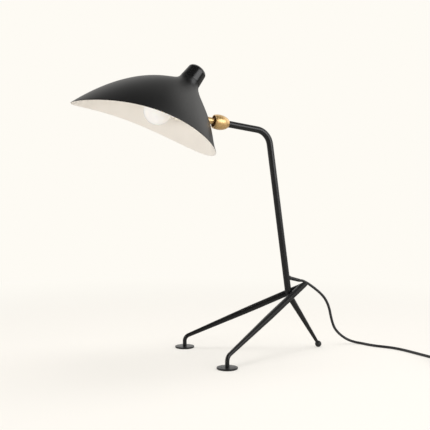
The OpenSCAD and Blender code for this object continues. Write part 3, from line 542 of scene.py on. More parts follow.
# Each finish: name, dark and light tone, range of roughness, strength of the bump
tube_paint = finish("satin_black_paint", 0.007, 0.01, (0.26, 0.3), 0.05, depth=6e-7)
shade_paint = finish("shade_black_paint", 0.006, 0.009, (0.36, 0.42), 0.3, depth=2e-6)
inside_paint = finish("warm_white_paint", (0.82, 0.785, 0.735), (0.87, 0.835, 0.785), (0.42, 0.52), 0.3)
knob_lacquer = finish("knob_lacquer", 0.005, 0.008, (0.23, 0.27), 0.1, depth=5e-7)
brass = finish("satin_brass", (0.84, 0.525, 0.19), (0.87, 0.555, 0.21), (0.34, 0.37), 0.04, True,
               contrast=1, fine=3000, slow=30, metallic=0.75, depth=3e-7, Coat_Weight=1, Coat_IOR=1.7,
               Coat_Roughness=0.32)
# A darker copy of the brass, as painted shade: it goes on the hollow of the cup's mouth, the retainer
# and the ball, where the swivel is in shade
painted_shade_brass = finish("painted_shade_brass", (0.22, 0.1, 0.02), (0.28, 0.14, 0.035), (0.42, 0.52), 0.2, True,
                    contrast=1, fine=3000, slow=30, metallic=1)
steel = finish("zinc_steel", (0.52, 0.52, 0.53), (0.66, 0.66, 0.67), (0.26, 0.4), 0.2, True, fine=4000,
               slow=80, metallic=1)
nickel = finish("nickel_cap", (0.62, 0.6, 0.56), (0.74, 0.72, 0.68), (0.22, 0.34), 0.2, True, fine=4000,
                slow=80, metallic=1)
opal = finish("opal_glass", (0.92, 0.92, 0.91), (0.95, 0.95, 0.94), (0.16, 0.22), 0.05, slow=30,
              Subsurface_Weight=0.5, Subsurface_Radius=(1, 0.9, 0.75), Subsurface_Scale=0.006)
rubber = finish("black_rubber", 0.01, 0.02, (0.42, 0.56), 0.4, fine=1400)
felt = finish("black_felt", (0.01, 0.01, 0.011), (0.035, 0.035, 0.036), (0.85, 0.98), 1, fine=2600,
              slow=400, depth=2e-4)
cord_skin = finish("black_cord_sheath", (0.012, 0.012, 0.013), (0.022, 0.022, 0.023), (0.36, 0.46),
                   0.35, fine=1600, slow=60)
moulded = finish("black_moulding", (0.013, 0.013, 0.014), (0.021, 0.021, 0.022), (0.4, 0.52), 0.6,
                 fine=2200, slow=50)
rocker_skin = finish("rocker_moulding", (0.02, 0.02, 0.021), (0.03, 0.03, 0.031), (0.28, 0.36), 0.3,
                     fine=2200, slow=50)
cream = finish("cream_lampholder", (0.78, 0.74, 0.64), (0.86, 0.82, 0.72), (0.3, 0.4), 0.25, fine=1200,
               slow=50)
nylon = finish("white_nylon", (0.8, 0.79, 0.74), (0.88, 0.87, 0.82), (0.38, 0.48), 0.3, fine=1500,
               slow=60)
lead_sheath = finish("white_lead_sheath", (0.76, 0.76, 0.73), (0.84, 0.84, 0.81), (0.4, 0.5), 0.3,
                     fine=1500, slow=60)


def dress(material, slot, *nodes):
    """A CAD node whose shape is right keeps it and gets this material."""
    for name in nodes:
        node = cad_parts[name]
        node.data.materials.clear()
        node.data.materials.append(material)


# ---- cord
GROMMET_DIR = Vector((cos(radians(GROMMET_DROP)), 0, -sin(radians(GROMMET_DROP))))
CORD_EXIT = STEM_FOOT + GROMMET_ON_STEM * STEM_DIR + GROMMET_TIP * GROMMET_DIR
CORD_POINTS = [
    CORD_EXIT,
    (30, 1.5, 127.6), (38, 5.5, 124.6), (48, 7, 119.2), (60, 6.6, 110.8), (72, 6, 101), (81, 6, 91.5),
    (87.5, 6, 81), (92, 6, 69.5), (95, 6, 57.5), (98.5, 6, 45), (104, 6, 32.5), (112, 5, 22.5),
    (122, 3, 14), (133, 0, 7.5), (144, -5.5, 3.6), (152.5, -17, 2.5), (157, -33, 2.5),
    (164, -48, 2.5), (173.5, -62, 2.5), (181.5, -76, 2.5), (187, -94, 2.5), (190, -114, 2.5),
    (192, -134, 2.5), (194, -152, 2.5), (196, -166, 2.5), (197, -176, 4.2), (197, -185, 7.2),
    (197, -191, 8.5), (197, -196, 8.5),
]
LEAD_POINTS = [
    (197, -256, 8.5), (197, -261, 8.4), (198.6, -270, 7), (204, -278.5, 5.2), (213, -284.2, 4),
    (224, -286, 3.4), (237, -286, 3.4), (250, -286, 3.4),
]
COIL_CENTRE = (255, -248)
COIL_TURNS = 3.375
COIL_CLIMB = 0.5
COIL_INNER = COIL_TURNS + COIL_CLIMB / 2
COIL_ALL = 2 * COIL_INNER
COIL_R = 38
COIL_PITCH = 5.5
COIL_Z = 3.4
COIL_TAIL = 31
COIL_STEPS = 48
TAIL_STEPS = 6
LINE_STEPS = 6
TIE_ANGLE = 150


def coil_at(n):
    """A point of the coil n turns from its start: in on the lower layer, out on the upper one."""
    r = COIL_R - COIL_PITCH * (n if n < COIL_INNER else COIL_ALL - n)
    z = COIL_Z + COIL_PITCH * min(1, max(0, (n - COIL_TURNS) / COIL_CLIMB))
    turn = 2 * pi * n
    return Vector((COIL_CENTRE[0] + r * sin(turn), COIL_CENTRE[1] - r * cos(turn), z))


def coil_line():
    turn = 2 * pi * COIL_ALL
    away = Vector((cos(turn), sin(turn), 0))
    line = [coil_at(i / COIL_STEPS) for i in range(int(COIL_STEPS * COIL_ALL) + 1)]
    return line + [line[-1] + away * COIL_TAIL * k / TAIL_STEPS for k in range(1, TAIL_STEPS + 1)]


def cord_curve(name, line):
    """A round cord along a line of points in the lamp's frame."""
    data = bpy.data.curves.new(name, "CURVE")
    data.dimensions = "3D"
    data.bevel_depth = CORD_D / 2 * MM
    data.bevel_resolution = 7
    data.use_fill_caps = True
    spline = data.splines.new("POLY")
    spline.points.add(len(line) - 1)
    for point, p in zip(spline.points, line):
        point.co = ((p[0] + LAMP_X) * MM, p[1] * MM, p[2] * MM, 1)
    return add_object(name, data)


def make_cords():
    first = smooth_line(CORD_POINTS, LINE_STEPS)
    second = smooth_line(LEAD_POINTS, LINE_STEPS) + coil_line()
    cord = wear(cord_curve("cord", first), cord_skin, "stand", "cord_black", "power_cord")
    tail = wear(cord_curve("cord_tail", second), cord_skin, "stand", "cord_black", "switch_lead",
                "cord_coil")


make_cords()


# ---- stem, legs and feet
LEG_STEPS = 14
REAR_LEG_STEPS = 10
BALL_FOOT_SINK = 0.4
BALL_FOOT_LIP = 0.3
DISC_EDGES = (0.5, 0.6)
PAD_EDGE = 0.2


def bent_line(start, corner, end, radius, steps, straight=6):
    """A line from start round a corner to end."""
    bend = arc_through(corner, start, end, radius, steps)
    lead_in = [Vector(start).lerp(bend[0], k / straight) for k in range(straight)]
    lead_out = [bend[-1].lerp(Vector(end), k / straight) for k in range(1, straight + 1)]
    return lead_in + bend + lead_out


def make_stem():
    """The bent tube, mitred at its foot. Gives the normal of the mitre."""
    corner = STEM_FOOT + STEM_LEN * STEM_DIR
    end = BALL - ARM_END_A * ARM_DIR
    line = bent_line(STEM_FOOT, corner, end, ELBOW_R, steps=28)
    rear_lean = degrees(atan2(REAR_BALL.x, STEM_FOOT.z - REAR_BALL.z))
    mitre = (STEM_LEAN + rear_lean) / 2
    normal = turned("Y", -mitre) @ Vector((0, 0, 1))
    outer, inner = [path_rings(line, [d / 2] * len(line), (STEM_FOOT, normal))
                    for d in (STEM_D, STEM_BORE)]
    stem = solid("stem", *skin(outer + inner[::-1], closed=True))
    wear(stem, tube_paint, "stand", "tube_black", "stem_tube")
    return normal


def make_leg(side, name, node):
    """A front leg: plain near the stem, then tapered, and bent down into a pin."""
    corner = Vector((LEG_CORNER.x, side * LEG_CORNER.y, LEG_CORNER.z))
    foot = Vector((corner.x, corner.y, DISC_TOP))
    line = bent_line(APEX, corner, foot, LEG_BEND_R, steps=20, straight=LEG_STEPS)
    plain_len = LEG_PLAIN_SHARE * (corner - APEX).length
    taper_len = (line[LEG_STEPS] - APEX).length - plain_len
    radii = []
    for p in line:
        share = min(1, max(0, ((p - APEX).length - plain_len) / taper_len))
        radii.append((LEG_D + (LEG_TIP_D - LEG_D) * share) / 2)
    rings = path_rings(line, radii, ((0, 0, 0), (0, 1, 0)))
    leg = solid(name, *skin([[APEX]] + rings + [[foot]]))
    wear(leg, tube_paint, "stand", "tube_black", node)


def make_rear_leg(normal):
    length = (REAR_BALL - STEM_FOOT).length - BALL_FOOT_D / 2 + BALL_FOOT_SINK
    ahead = (REAR_BALL - STEM_FOOT).normalized()
    shares = [k / REAR_LEG_STEPS for k in range(REAR_LEG_STEPS + 1)]
    line = [STEM_FOOT + ahead * length * share for share in shares]
    radii = [(STEM_D + (REAR_TIP_D - STEM_D) * share) / 2 for share in shares]
    rings = path_rings(line, radii, (STEM_FOOT, normal))
    leg = solid("rear_leg_bar", *skin([[STEM_FOOT]] + rings + [[line[-1]]]))
    wear(leg, tube_paint, "stand", "tube_black", "rear_leg")


def make_ball_foot():
    """A rubber ball whose top is cut flat where the rear leg enters."""
    upright = (STEM_FOOT - REAR_BALL).to_track_quat("Z", "Y")
    rear = LAMP @ place(REAR_BALL) @ upright.to_matrix().to_4x4()
    r = BALL_FOOT_D / 2
    flat = r - BALL_FOOT_SINK
    profile = arc(r, -90, degrees(asin(flat / r)), 24)
    profile[0] = (0, -r)
    profile += [(REAR_TIP_D / 2 - BALL_FOOT_LIP, flat), (0, flat)]
    foot = settle(lathe("ball_foot", profile, rear, sides=64))
    wear(foot, rubber, "stand", "ball_foot_black", "rear_ball_foot")


def make_foot(side, name, tag):
    """A foot disc with a felt pad under it."""
    at = LAMP @ place((LEG_CORNER.x, side * LEG_CORNER.y, 0))
    r = DISC_D / 2
    low_edge, top_edge = DISC_EDGES
    disc = rounded([(0, PAD_T), (r, PAD_T, low_edge), (r, DISC_TOP, top_edge), (0, DISC_TOP)], 5)
    wear(lathe(name + "_disc", disc, at), tube_paint, "stand", "tube_black", "foot_disc_" + tag)
    pad = rounded([(0, 0), (PAD_D / 2, 0, PAD_EDGE), (PAD_D / 2, PAD_T), (0, PAD_T)])
    wear(lathe(name + "_pad", pad, at), felt, "stand", "felt", "foot_pad_" + tag)


mitre_normal = make_stem()
make_leg(1, "leg_left", "front_leg_left")
make_leg(-1, "leg_right", "front_leg_right")
make_rear_leg(mitre_normal)
make_ball_foot()
make_foot(1, "foot_left", "left")
make_foot(-1, "foot_right", "right")

# The grommet's flange, which sits on the stem, and its ribs, as (radius, height)
FLANGE = [(CORD_D / 2, 5.0), (4.2, 5.0), (4.4, 5.3), (4.4, 6.9), (4.15, 7.3), (3.6, 7.4)]
FLANGE_END = 7.4
RIBS_START = 8.6
RIB_PITCH = 3.3
RIB_BASE_R = 3.5
RIB_TAPER = 0.55
RIB_DEPTH = 0.3
# One rib and the groove after it, and the boot's tip, as (height, distance inwards) and (radius, height)
RIB = ((0, 0), (1.9, 0), (2.2, RIB_DEPTH), (2.9, RIB_DEPTH))
BOOT_TIP = [(3.0, GROMMET_TIP - 1.4), (2.95, GROMMET_TIP - 0.5), (2.6, GROMMET_TIP),
            (CORD_D / 2, GROMMET_TIP)]


def make_grommet():
    """A rubber strain relief: a flange that sits on the stem, and a tapered, grooved boot."""
    profile = list(FLANGE)
    for k in range(GROMMET_RIBS):
        z = RIBS_START + k * RIB_PITCH
        r = RIB_BASE_R - RIB_TAPER * (z - FLANGE_END) / (GROMMET_TIP - FLANGE_END)
        profile += [(r - less, z + dz) for dz, less in RIB]
    grommet = lathe("grommet", profile + BOOT_TIP, GROMMET, closed=True, sides=48, smooth_angle=40)
    wear(grommet, rubber, "stand", "grommet_black", "cord_grommet")


make_grommet()


# ---- swivel
CUP_STEPS = 40
CUP_LIP = 0.4
CUP_LIP_EDGE = (0.15, 0.05)
# Faces of the cup inside this radius, and forward of this place along the arm, take the darker brass as
# painted shade in the hollow mouth
CUP_SHADE_R = 10.5
CUP_SHADE_A = -14.5
# Inside of the cup from its mouth to its back, as (radius, place along the arm)
CUP_MOUTH = [(10.55, MOUTH_A), (10.45, MOUTH_A - 0.1), (10.45, 2.5), (10.2, 2.5)]
CUP_SEAT = arc(10.25, 14, -22, 9)
CUP_BACK = [(9.9, -4), (9.9, -14), (4.5, -14), (4.5, -15), (6.05, -15), (6.05, CUP_BACK_A),
            (6.4, CUP_BACK_A)]
BALL_BACK = -50
NECK_EDGE = 0.3
STUD_ROOT_LEN = 6
THREAD_DEPTH = 0.45
THREAD_PITCH = 1.0
COLLAR_PLAY = 0.05
COLLAR_EDGE = 0.4
COLLAR_GAP = 0.15
COLLAR_SIDES = 72


def cup_radius(a):
    return CUP_D / 2 * sqrt(1 - ((a - CUP_CENTRE_A) / CUP_HALF_LEN) ** 2)


def make_cup():
    rows = [CUP_BACK_A + (MOUTH_A - CUP_BACK_A) * k / CUP_STEPS for k in range(CUP_STEPS + 1)]
    outside = [(cup_radius(a), a) for a in rows]
    lip = outside[-1][0]
    outside[-1] = (lip - CUP_LIP_EDGE[0], MOUTH_A - CUP_LIP_EDGE[1])
    profile = outside + [(lip - CUP_LIP, MOUTH_A)] + CUP_MOUTH + CUP_SEAT + CUP_BACK
    cup = lathe("swivel_cup_shell", profile, ARM, closed=True, smooth_angle=30)
    cup.data.materials.append(brass)
    # Painted shade: the hollow of the mouth takes the darker brass
    line_with(cup, painted_shade_brass, lambda face: face.center.xy.length < CUP_SHADE_R * MM
              and face.center.z > CUP_SHADE_A * MM)
    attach(cup, "stand")
    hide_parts("swivel_cup")


def make_stud():
    """The ball with its neck, bored for the lead, and the threaded rest of the stud."""
    ball = [p for p in arc(BALL_R, BALL_BACK, 90, 40) if not (p[0] < NECK_D / 2 and p[1] > 0)]
    neck_from = sqrt(BALL_R**2 - (NECK_D / 2) ** 2)
    bore = STUD_BORE / 2
    root_r = STUD_D / 2 - NECK_EDGE
    root_end = SHOULDER_A + STUD_ROOT_LEN
    profile = [(bore, ball[0][1])] + ball + [
        (NECK_D / 2, neck_from), (NECK_D / 2, SHOULDER_A - NECK_EDGE),
        (NECK_D / 2 - NECK_EDGE, SHOULDER_A), (root_r, SHOULDER_A), (root_r, root_end), (bore, root_end),
    ]
    stud = lathe("ball_and_neck", profile, ARM, closed=True)
    wear(stud, brass, "ball_stud", "brass", "ball_stud")
    # Painted shade: the ball, sunk in the cup's mouth, takes the darker brass while the neck stays
    # bright
    line_with(stud, painted_shade_brass, lambda face: face.center.z < neck_from * MM)
    tail = threaded("stud_thread", STUD_D / 2, THREAD_DEPTH, THREAD_PITCH, root_end - 1, STUD_END_A, ARM,
                    bore=bore)
    wear(tail, brass, "ball_stud", "brass")


def make_collar():
    """A brass wedge between the shoulder and the sloping wall of the shade."""
    start = SHOULDER_A + COLLAR_PLAY
    bore = STUD_D / 2 + COLLAR_PLAY
    seat = WALL.inverted() @ ARM
    # Rings from the bore out and back: radius, and height above the shoulder, or None on the slope
    rows = ((bore, 0), (COLLAR_R - COLLAR_EDGE, 0), (COLLAR_R, COLLAR_EDGE), (COLLAR_R, None),
            (bore, None))
    rings = []
    for r, lift in rows:
        ring = ring_at(r, start + (lift or 0), COLLAR_SIDES)
        if lift is None:
            for k, (x, y, _) in enumerate(ring):
                low = seat @ Vector((x, y, 0))
                slope = seat @ Vector((x, y, 1)) - low
                ring[k] = (x, y, (-COLLAR_GAP - low.z) / slope.z)
        rings.append(ring)
    collar = shell("collar", rings, ARM, closed=True)
    wear(collar, brass, "head", "brass", "shade_collar")


make_cup()
make_stud()
make_collar()
# Painted shade: the retainer inside the cup's mouth takes the darker brass
dress(painted_shade_brass, "brass", "swivel_retainer")
dress(steel, "steel", "swivel_seat", "swivel_spring", "inner_washer", "neck_nut", "knob_screw",
      "foot_screw_left", "foot_screw_right", "switch_screws")
dress(nylon, "nylon", "friction_liner")
dress(lead_sheath, "lead_white", "lower_lead", "upper_lead")


# ---- shade and knob
BLEND_FRONT = ((0.18, 0.957), (0.552, 0.935))
BLEND_SIDE = ((0.334, 0.805), (0.821, 0.361))
BLEND_BACK = ((0.846, 0.514), (0.773, 0.194))
SHADE_SIDES = 240
SHADE_ROWS = 110
RIM_STEPS = 6
RIM_PROBE = 0.01
WALL_PROBE = 0.002
BEZIER_WEIGHTS = (1, 4, 6, 4, 1)
SCREW_HOLE_R = 2.5
STUD_HOLE_R = 4.6
STUD_HOLE_LEN = 40


def rim_at(u):
    skew = 1 + ARCH_SKEW * np.cos(u)
    return np.stack([
        RIM_MID_S + SHADE_LEN / 2 * np.cos(u),
        SHADE_W / 2 * np.sin(u) * (1 + RIM_EGG * np.cos(u)),
        -RIM_DROP + RIM_ARCH * np.sin(u) ** 2 * skew,
    ], axis=-1)


def control_row(rim, angle, index):
    front, side, back = BLEND_FRONT[index], BLEND_SIDE[index], BLEND_BACK[index]
    wf = np.maximum(np.cos(angle), 0) ** 2
    wb = np.maximum(-np.cos(angle), 0) ** 2
    out, up = [front[i] * wf + back[i] * wb + side[i] * (1 - wf - wb) for i in (0, 1)]
    boss = np.array(BOSS)
    plan = boss * (1 - out[..., None]) + rim * out[..., None]
    plan[..., 2] = rim[..., 2] + (boss[2] - rim[..., 2]) * up
    return plan


def boss_ring(angle, r, h):
    lean = radians(BOSS_LEAN)
    x_axis = np.array([cos(lean), 0, sin(lean)])
    axis = np.array([-sin(lean), 0, cos(lean)])
    y_axis = np.array([0, 1, 0])
    round_it = np.cos(angle)[..., None] * x_axis + np.sin(angle)[..., None] * y_axis
    return np.array(BOSS) + r * round_it + h * axis


def wall_at(u, t):
    """Point of the shade's outside on the meridian u, at the share t of the way down it."""
    rim = rim_at(u)
    angle = np.arctan2(rim[..., 1], rim[..., 0] - BOSS.x)
    rows = [
        boss_ring(angle, BOSS_R, 0),
        boss_ring(angle, BOSS_R, -BOSS_SKIRT),
        control_row(rim, angle, 0),
        control_row(rim, angle, 1),
        rim,
    ]
    t = np.asarray(t)[..., None]
    terms = enumerate(zip(BEZIER_WEIGHTS, rows))
    return sum(w * (1 - t) ** (4 - k) * t**k * row for k, (w, row) in terms)


def wall_frame_at(u, t):
    """Unit vectors at a point of the wall: outwards across it, and down along it."""
    along = wall_at(u, t) - wall_at(u, t - WALL_PROBE)
    around = wall_at(u + RIM_PROBE, t) - wall_at(u - RIM_PROBE, t)
    along /= np.linalg.norm(along, axis=-1, keepdims=True)
    normal = np.cross(along, around)
    normal /= np.linalg.norm(normal, axis=-1, keepdims=True)
    return normal, along


def make_shade():
    """The pressed shell: outside from the boss to the rim, rounded edge, inside back to the boss."""
    u = 2 * pi * np.arange(SHADE_SIDES) / SHADE_SIDES
    angle = np.arctan2(rim_at(u)[:, 1], rim_at(u)[:, 0] - BOSS.x)
    last_step = wall_at(u, np.ones_like(u)) - wall_at(u, np.full_like(u, 1 - RIM_PROBE))
    stop = 1 - RIM_PROBE * (SHADE_T / 2) / np.linalg.norm(last_step, axis=1)
    outside = [boss_ring(angle, SCREW_HOLE_R, 0), boss_ring(angle, BOSS_R, 0)]
    inside = []
    for j in range(1, SHADE_ROWS + 1):
        t = stop * j / SHADE_ROWS
        wall = wall_at(u, t)
        outside.append(wall)
        inside.append(wall - SHADE_T * wall_frame_at(u, t)[0])
    normal, along = wall_frame_at(u, stop)
    middle = outside[-1] - SHADE_T / 2 * normal
    edge = []
    for k in range(1, RIM_STEPS):
        turn = pi * k / RIM_STEPS
        edge.append(middle + SHADE_T / 2 * (cos(turn) * normal + sin(turn) * along))
    inner_boss = [boss_ring(angle, r, -SHADE_T) for r in (BOSS_R - SHADE_T, SCREW_HOLE_R)]
    rings = outside + edge + inside[::-1] + inner_boss
    points, faces = skin([[tuple(p) for p in ring] for ring in rings], closed=True)
    shade = solid("pressed_shade", points, faces, SHADE, smooth_angle=60)
    white_from = (len(outside) - 1 + RIM_STEPS // 2) * SHADE_SIDES
    white_to = (len(rings) - 1) * SHADE_SIDES
    shade.data.materials.append(shade_paint)
    line_with(shade, inside_paint, lambda face: white_from <= face.index < white_to)
    cut(shade, [rod("stud_cutter", STUD_HOLE_R, 0, STUD_HOLE_LEN, ARM, sides=48)])
    settle(shade)
    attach(shade, "head")
    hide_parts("shade")
    return shade


KNOB_EDGE = [(0, 0), (KNOB_D / 2 - 0.35, 0), (KNOB_D / 2 - 0.1, 0.12)]
KNOB_EDGE_H = 0.4
KNOB_SIDE_STEPS = 12
KNOB_DOME_STEPS = 24


def make_knob():
    """A lacquered knob: rounded lower edge, tapered side and elliptic dome."""
    profile = list(KNOB_EDGE)
    for k in range(KNOB_SIDE_STEPS):
        share = k / KNOB_SIDE_STEPS
        profile.append((KNOB_D / 2 + (KNOB_TOP_D - KNOB_D) / 2 * share,
                        KNOB_EDGE_H + (KNOB_SIDE_H - KNOB_EDGE_H) * share))
    for k in range(KNOB_DOME_STEPS + 1):
        turn = pi / 2 * k / KNOB_DOME_STEPS
        profile.append((KNOB_TOP_D / 2 * cos(turn),
                        KNOB_SIDE_H + (KNOB_H - KNOB_SIDE_H) * sin(turn)))
    profile[-1] = (0, KNOB_H)
    knob = lathe("knob", profile, BOSS_TOP, sides=120, smooth_angle=50)
    wear(settle(knob), knob_lacquer, "head", "knob_black", "shade_knob")


make_shade()
make_knob()


# ---- lampholder and bulb
HOLDER_BACK_R = 4.55
HOLDER_MOUTH_R = 7.0
HOLDER_SHOULDER_W = 3
HOLDER_LINE_A = 12
HOLDER_LINE_DEPTH = 0.4
GLOBE_NECK_R = 9
# The bulb's glass inside its cap and up to the globe, as (radius, distance from the cap's tip)
BULB_NECK = [(0, 5), (5.45, 5), (5.45, 17.9), (6.3, 18.4), (6.65, 20), (6.9, 22)]
FLARE_R = 7.9
FLARE_DROP = 1.2
CAP_THREAD_DEPTH = 0.55
CAP_THREAD_PITCH = 2.4
CAP_THREAD = (3, 17.8)


def make_holder():
    """A stepped cream sleeve with one line turned into it near its mouth."""
    r, back_r = HOLDER_D / 2, HOLDER_D / 2 - HOLDER_SHOULDER_W
    a, e = HOLDER_A, HOLDER_END_A
    line_r, line_a = r - HOLDER_LINE_DEPTH, e - HOLDER_LINE_A
    profile = rounded([
        (HOLDER_BACK_R, a), (back_r, a, 1.0), (back_r, a + 3, 0.8), (r, a + 8, 0.8),
        (r, line_a), (r, line_a + 0.4, 0.1), (line_r, line_a + 0.8), (line_r, line_a + 1.4),
        (r, line_a + 1.8, 0.1), (r, e, 0.5), (HOLDER_MOUTH_R, e, 0.4),
        (HOLDER_MOUTH_R, STUD_END_A + 2), (HOLDER_BACK_R, STUD_END_A + 2),
    ])
    holder = lathe("lampholder", profile, ARM, closed=True)
    wear(holder, cream, "head", "holder_cream", "holder_body")


def make_bulb():
    """The globe with its flared neck, and its screw cap."""
    r = GLOBE_D / 2
    neck_drop = sqrt(r**2 - GLOBE_NECK_R**2)
    globe = arc(r, -degrees(asin(neck_drop / r)), 90, 48, GLOBE_A)
    globe[-1] = (0, GLOBE_A + r)
    neck = [(x, CAP_TIP_A + a) for x, a in BULB_NECK]
    flare = [(FLARE_R, GLOBE_A - neck_drop - FLARE_DROP)]
    bulb = lathe("opal_bulb", neck + flare + globe, ARM, smooth_angle=50)
    wear(settle(bulb), opal, "head", "opal_glass", "bulb_globe")
    start, end = [CAP_TIP_A + a for a in CAP_THREAD]
    cap = threaded("bulb_screw_cap", CAP_D / 2, CAP_THREAD_DEPTH, CAP_THREAD_PITCH, start, end, ARM)
    wear(cap, nickel, "head", "cap_nickel", "bulb_cap")


make_holder()
make_bulb()
dress(brass, "brass", "holder_shell", "holder_contact", "plug_blades")
dress(nickel, "cap_nickel", "bulb_contact")


# ---- switch, coil tie and plug
SWITCH = LAMP @ place((197, -226, 0))
SWITCH_LEN = 60
SWITCH_W = 27
SWITCH_H = 17
SWITCH_SPLIT = 8.5
SEAM = 0.35
SEAM_GAP = 0.05
CASE_ROUND = 5
CASE_LOW_EDGE = 1.5
CASE_TOP_EDGE = 2.6
ROCKER_LEN = 16
ROCKER_W = 10
ROCKER_Z = 12.4
ROCKER_GAP = 0.3
ROCKER_TIP = 9
ROCKER_TOP = 5.75
ROCKER_DIP = 1.15
ROCKER_END_H = 5.6
# Rows of the rocker from one side to the other: place from the side, and size
ROCKER_ROWS = ((0, 0.93), (0.15, 0.97), (0.5, 1.0), (ROCKER_W - 0.5, 1.0), (ROCKER_W - 0.15, 0.97),
               (ROCKER_W, 0.93))
PIN_R = 1.2
PIN_OUT = 1.8
PIN_HOLE_HALF = 7
SCREW_OFF = (8, 21)
SCREW_HOLE = [(0, -1), (2.8, -1), (2.8, 2.5), (1.6, 2.5), (1.6, 12.6), (0, 12.6)]
# The tie's band in section: place across it, and height
TIE_BAND = ((-3.9, 0), (3.9, 0), (4, 0.1), (4, 0.7), (3.9, 0.8), (-3.9, 0.8), (-4, 0.7), (-4, 0.1))
TIE_ROUND = 2.5
TIE_PLAY_IN = 0.7
TIE_PLAY_OUT = 0.35
TIE_PLAY_UP = 0.1
PLUG_LEN = 34
PLUG_W = 24
PLUG_H = 15
PLUG_ROUND = 4
PLUG_EDGE = 1.2
BOOT_W, BOOT_H = 12, 9
BOOT_END = 10
BOOT_START_D = 6.2
BOOT_RIBS = 4
BOOT_WALL = 0.8
BOOT_FLARE = 0.08
WIDEN_STEPS = 8
# Rows of one rib of the boot and of one finger groove: distance along the plug, and depth
BOOT_PITCH = 2.3
BOOT_RIB = ((0, 0.1), (0.15, 0), (1.35, 0), (1.5, 0.35), (2.15, 0.35))
GRIP_START = 18
GRIP_PITCH = 3.4
GRIP_GROOVES = 3
GRIP_GROOVE = ((0, 0), (0.35, 0.45), (1.15, 0.6), (1.95, 0.45), (2.3, 0))
BLADE_W = 6.35
BLADE_T = 1.5
BLADE_PITCH = 12.7
BLADE_DEPTH = 11
BLADE_PLAY = 0.1


def plan_ring(width, length, corner, inset, z, steps=8):
    """A rounded rectangle at height z, drawn in by inset."""
    ring = []
    for sx, sy, start in ((1, 1, 0), (-1, 1, 90), (-1, -1, 180), (1, -1, 270)):
        for k in range(steps + 1):
            turn = radians(start + 90 * k / steps)
            ring.append((
                sx * (width / 2 - corner) + (corner - inset) * cos(turn),
                sy * (length / 2 - corner) + (corner - inset) * sin(turn),
                z,
            ))
    return ring


def block(name, width, length, corner, low, high, at):
    """A plain block with rounded upright edges."""
    return shell(name, capped([plan_ring(width, length, corner, 0, z) for z in (low, high)]), at)


def case_half(name, rows, node):
    """Half of the switch case, from rows of (inset, z) that go up its outside."""
    rings = [plan_ring(SWITCH_W, SWITCH_LEN, CASE_ROUND, inset, z) for inset, z in rows]
    half = shell(name, capped(rings), SWITCH)
    side = ROCKER_W / 2 + ROCKER_GAP
    room = ROCKER_LEN / 2 + ROCKER_GAP
    across = SWITCH @ place((0, 0, ROCKER_Z)) @ turned("Y", 90)
    tools = [
        rod("well_tool", room, -side, side, across),
        rod("pin_tool", PIN_R + 0.1, -PIN_HOLE_HALF, PIN_HOLE_HALF, across),
    ]
    for y in (-SCREW_OFF[1], SCREW_OFF[1]):
        tools.append(lathe("screw_tool", SCREW_HOLE, SWITCH @ place((SCREW_OFF[0], y, 0))))
    tools.append(block("window_tool", 2 * side, 2 * room, 0.6, ROCKER_Z, SWITCH_H + 1, SWITCH))
    cut(half, tools)
    wear(half, moulded, "stand", "switch_black", node)


def quarter(radius, z, way, steps=6):
    """Rows (inset, z) round an outside edge: away from the wall where way is 1, back to it where -1."""
    turns = [pi / 2 * k / steps for k in range(steps + 1)]
    rows = [(radius * (1 - cos(t)), z - way * radius * (1 - sin(t))) for t in turns]
    return rows[::way]


def make_switch():
    low_end = SWITCH_SPLIT - SEAM_GAP
    low = quarter(CASE_LOW_EDGE, 0, -1) + [(0, low_end - SEAM), (SEAM, low_end)]
    case_half("switch_lower_case", low, "switch_case_bottom")
    high = [(SEAM, SWITCH_SPLIT), (0, SWITCH_SPLIT + SEAM)] + quarter(CASE_TOP_EDGE, SWITCH_H, 1)
    case_half("switch_upper_case", high, "switch_case_top")


def make_rocker():
    """A tipped rocker: a concave top between two rounded ends, on a pin."""
    r = ROCKER_LEN / 2
    outline = arc(r, -30, degrees(asin(ROCKER_END_H / r)), 8)
    edge = outline[-1][0]
    steps = 16
    top = [(edge * (1 - 2 * k / steps), ROCKER_TOP - ROCKER_DIP * sin(pi * k / steps))
           for k in range(1, steps)]
    outline += top + [(-y, z) for y, z in reversed(outline)]
    rings = [[(x - ROCKER_W / 2, y * size, z * size) for y, z in outline] for x, size in ROCKER_ROWS]
    ends = [[(x, 0, 0)] for x in (-ROCKER_W / 2, ROCKER_W / 2)]
    at = SWITCH @ place((0, 0, ROCKER_Z)) @ turned("X", -ROCKER_TIP)
    rocker = solid("rocker", *skin([ends[0]] + rings + [ends[1]]), at)
    wear(rocker, rocker_skin, "rocker", "switch_black", "switch_rocker")
    half = ROCKER_W / 2 + PIN_OUT
    pin = rod("rocker_pin", PIN_R, -half, half, at @ turned("Y", 90), sides=32)
    wear(pin, rocker_skin, "rocker", "switch_black")


def make_tie():
    """A strap round the coil's winding: a rounded loop of flat band."""
    inner_r = COIL_R - COIL_PITCH * COIL_INNER - CORD_D / 2 - TIE_PLAY_IN
    outer_r = COIL_R + CORD_D / 2 + TIE_PLAY_OUT
    low = COIL_Z - CORD_D / 2
    high = COIL_Z + COIL_PITCH + CORD_D / 2 + TIE_PLAY_UP
    wide, tall = outer_r - inner_r, high - low
    rings = []
    for x, z, _ in plan_ring(wide, tall, TIE_ROUND, 0, 0):
        corner = Vector((copysign(max(0, wide / 2 - TIE_ROUND), x),
                         copysign(max(0, tall / 2 - TIE_ROUND), z)))
        out = (Vector((x, z)) - corner).normalized()
        ring = []
        for side, lift in TIE_BAND:
            p = Vector((x, z)) + out * lift
            ring.append(((inner_r + outer_r) / 2 + p.x, side, (low + high) / 2 + p.y))
        rings.append(ring)
    at = LAMP @ place((COIL_CENTRE[0], COIL_CENTRE[1], 0)) @ turned("Z", TIE_ANGLE)
    strap = solid("tie_strap", *skin(rings, closed=True), at)
    wear(strap, felt, "stand", "switch_black", "coil_tie")


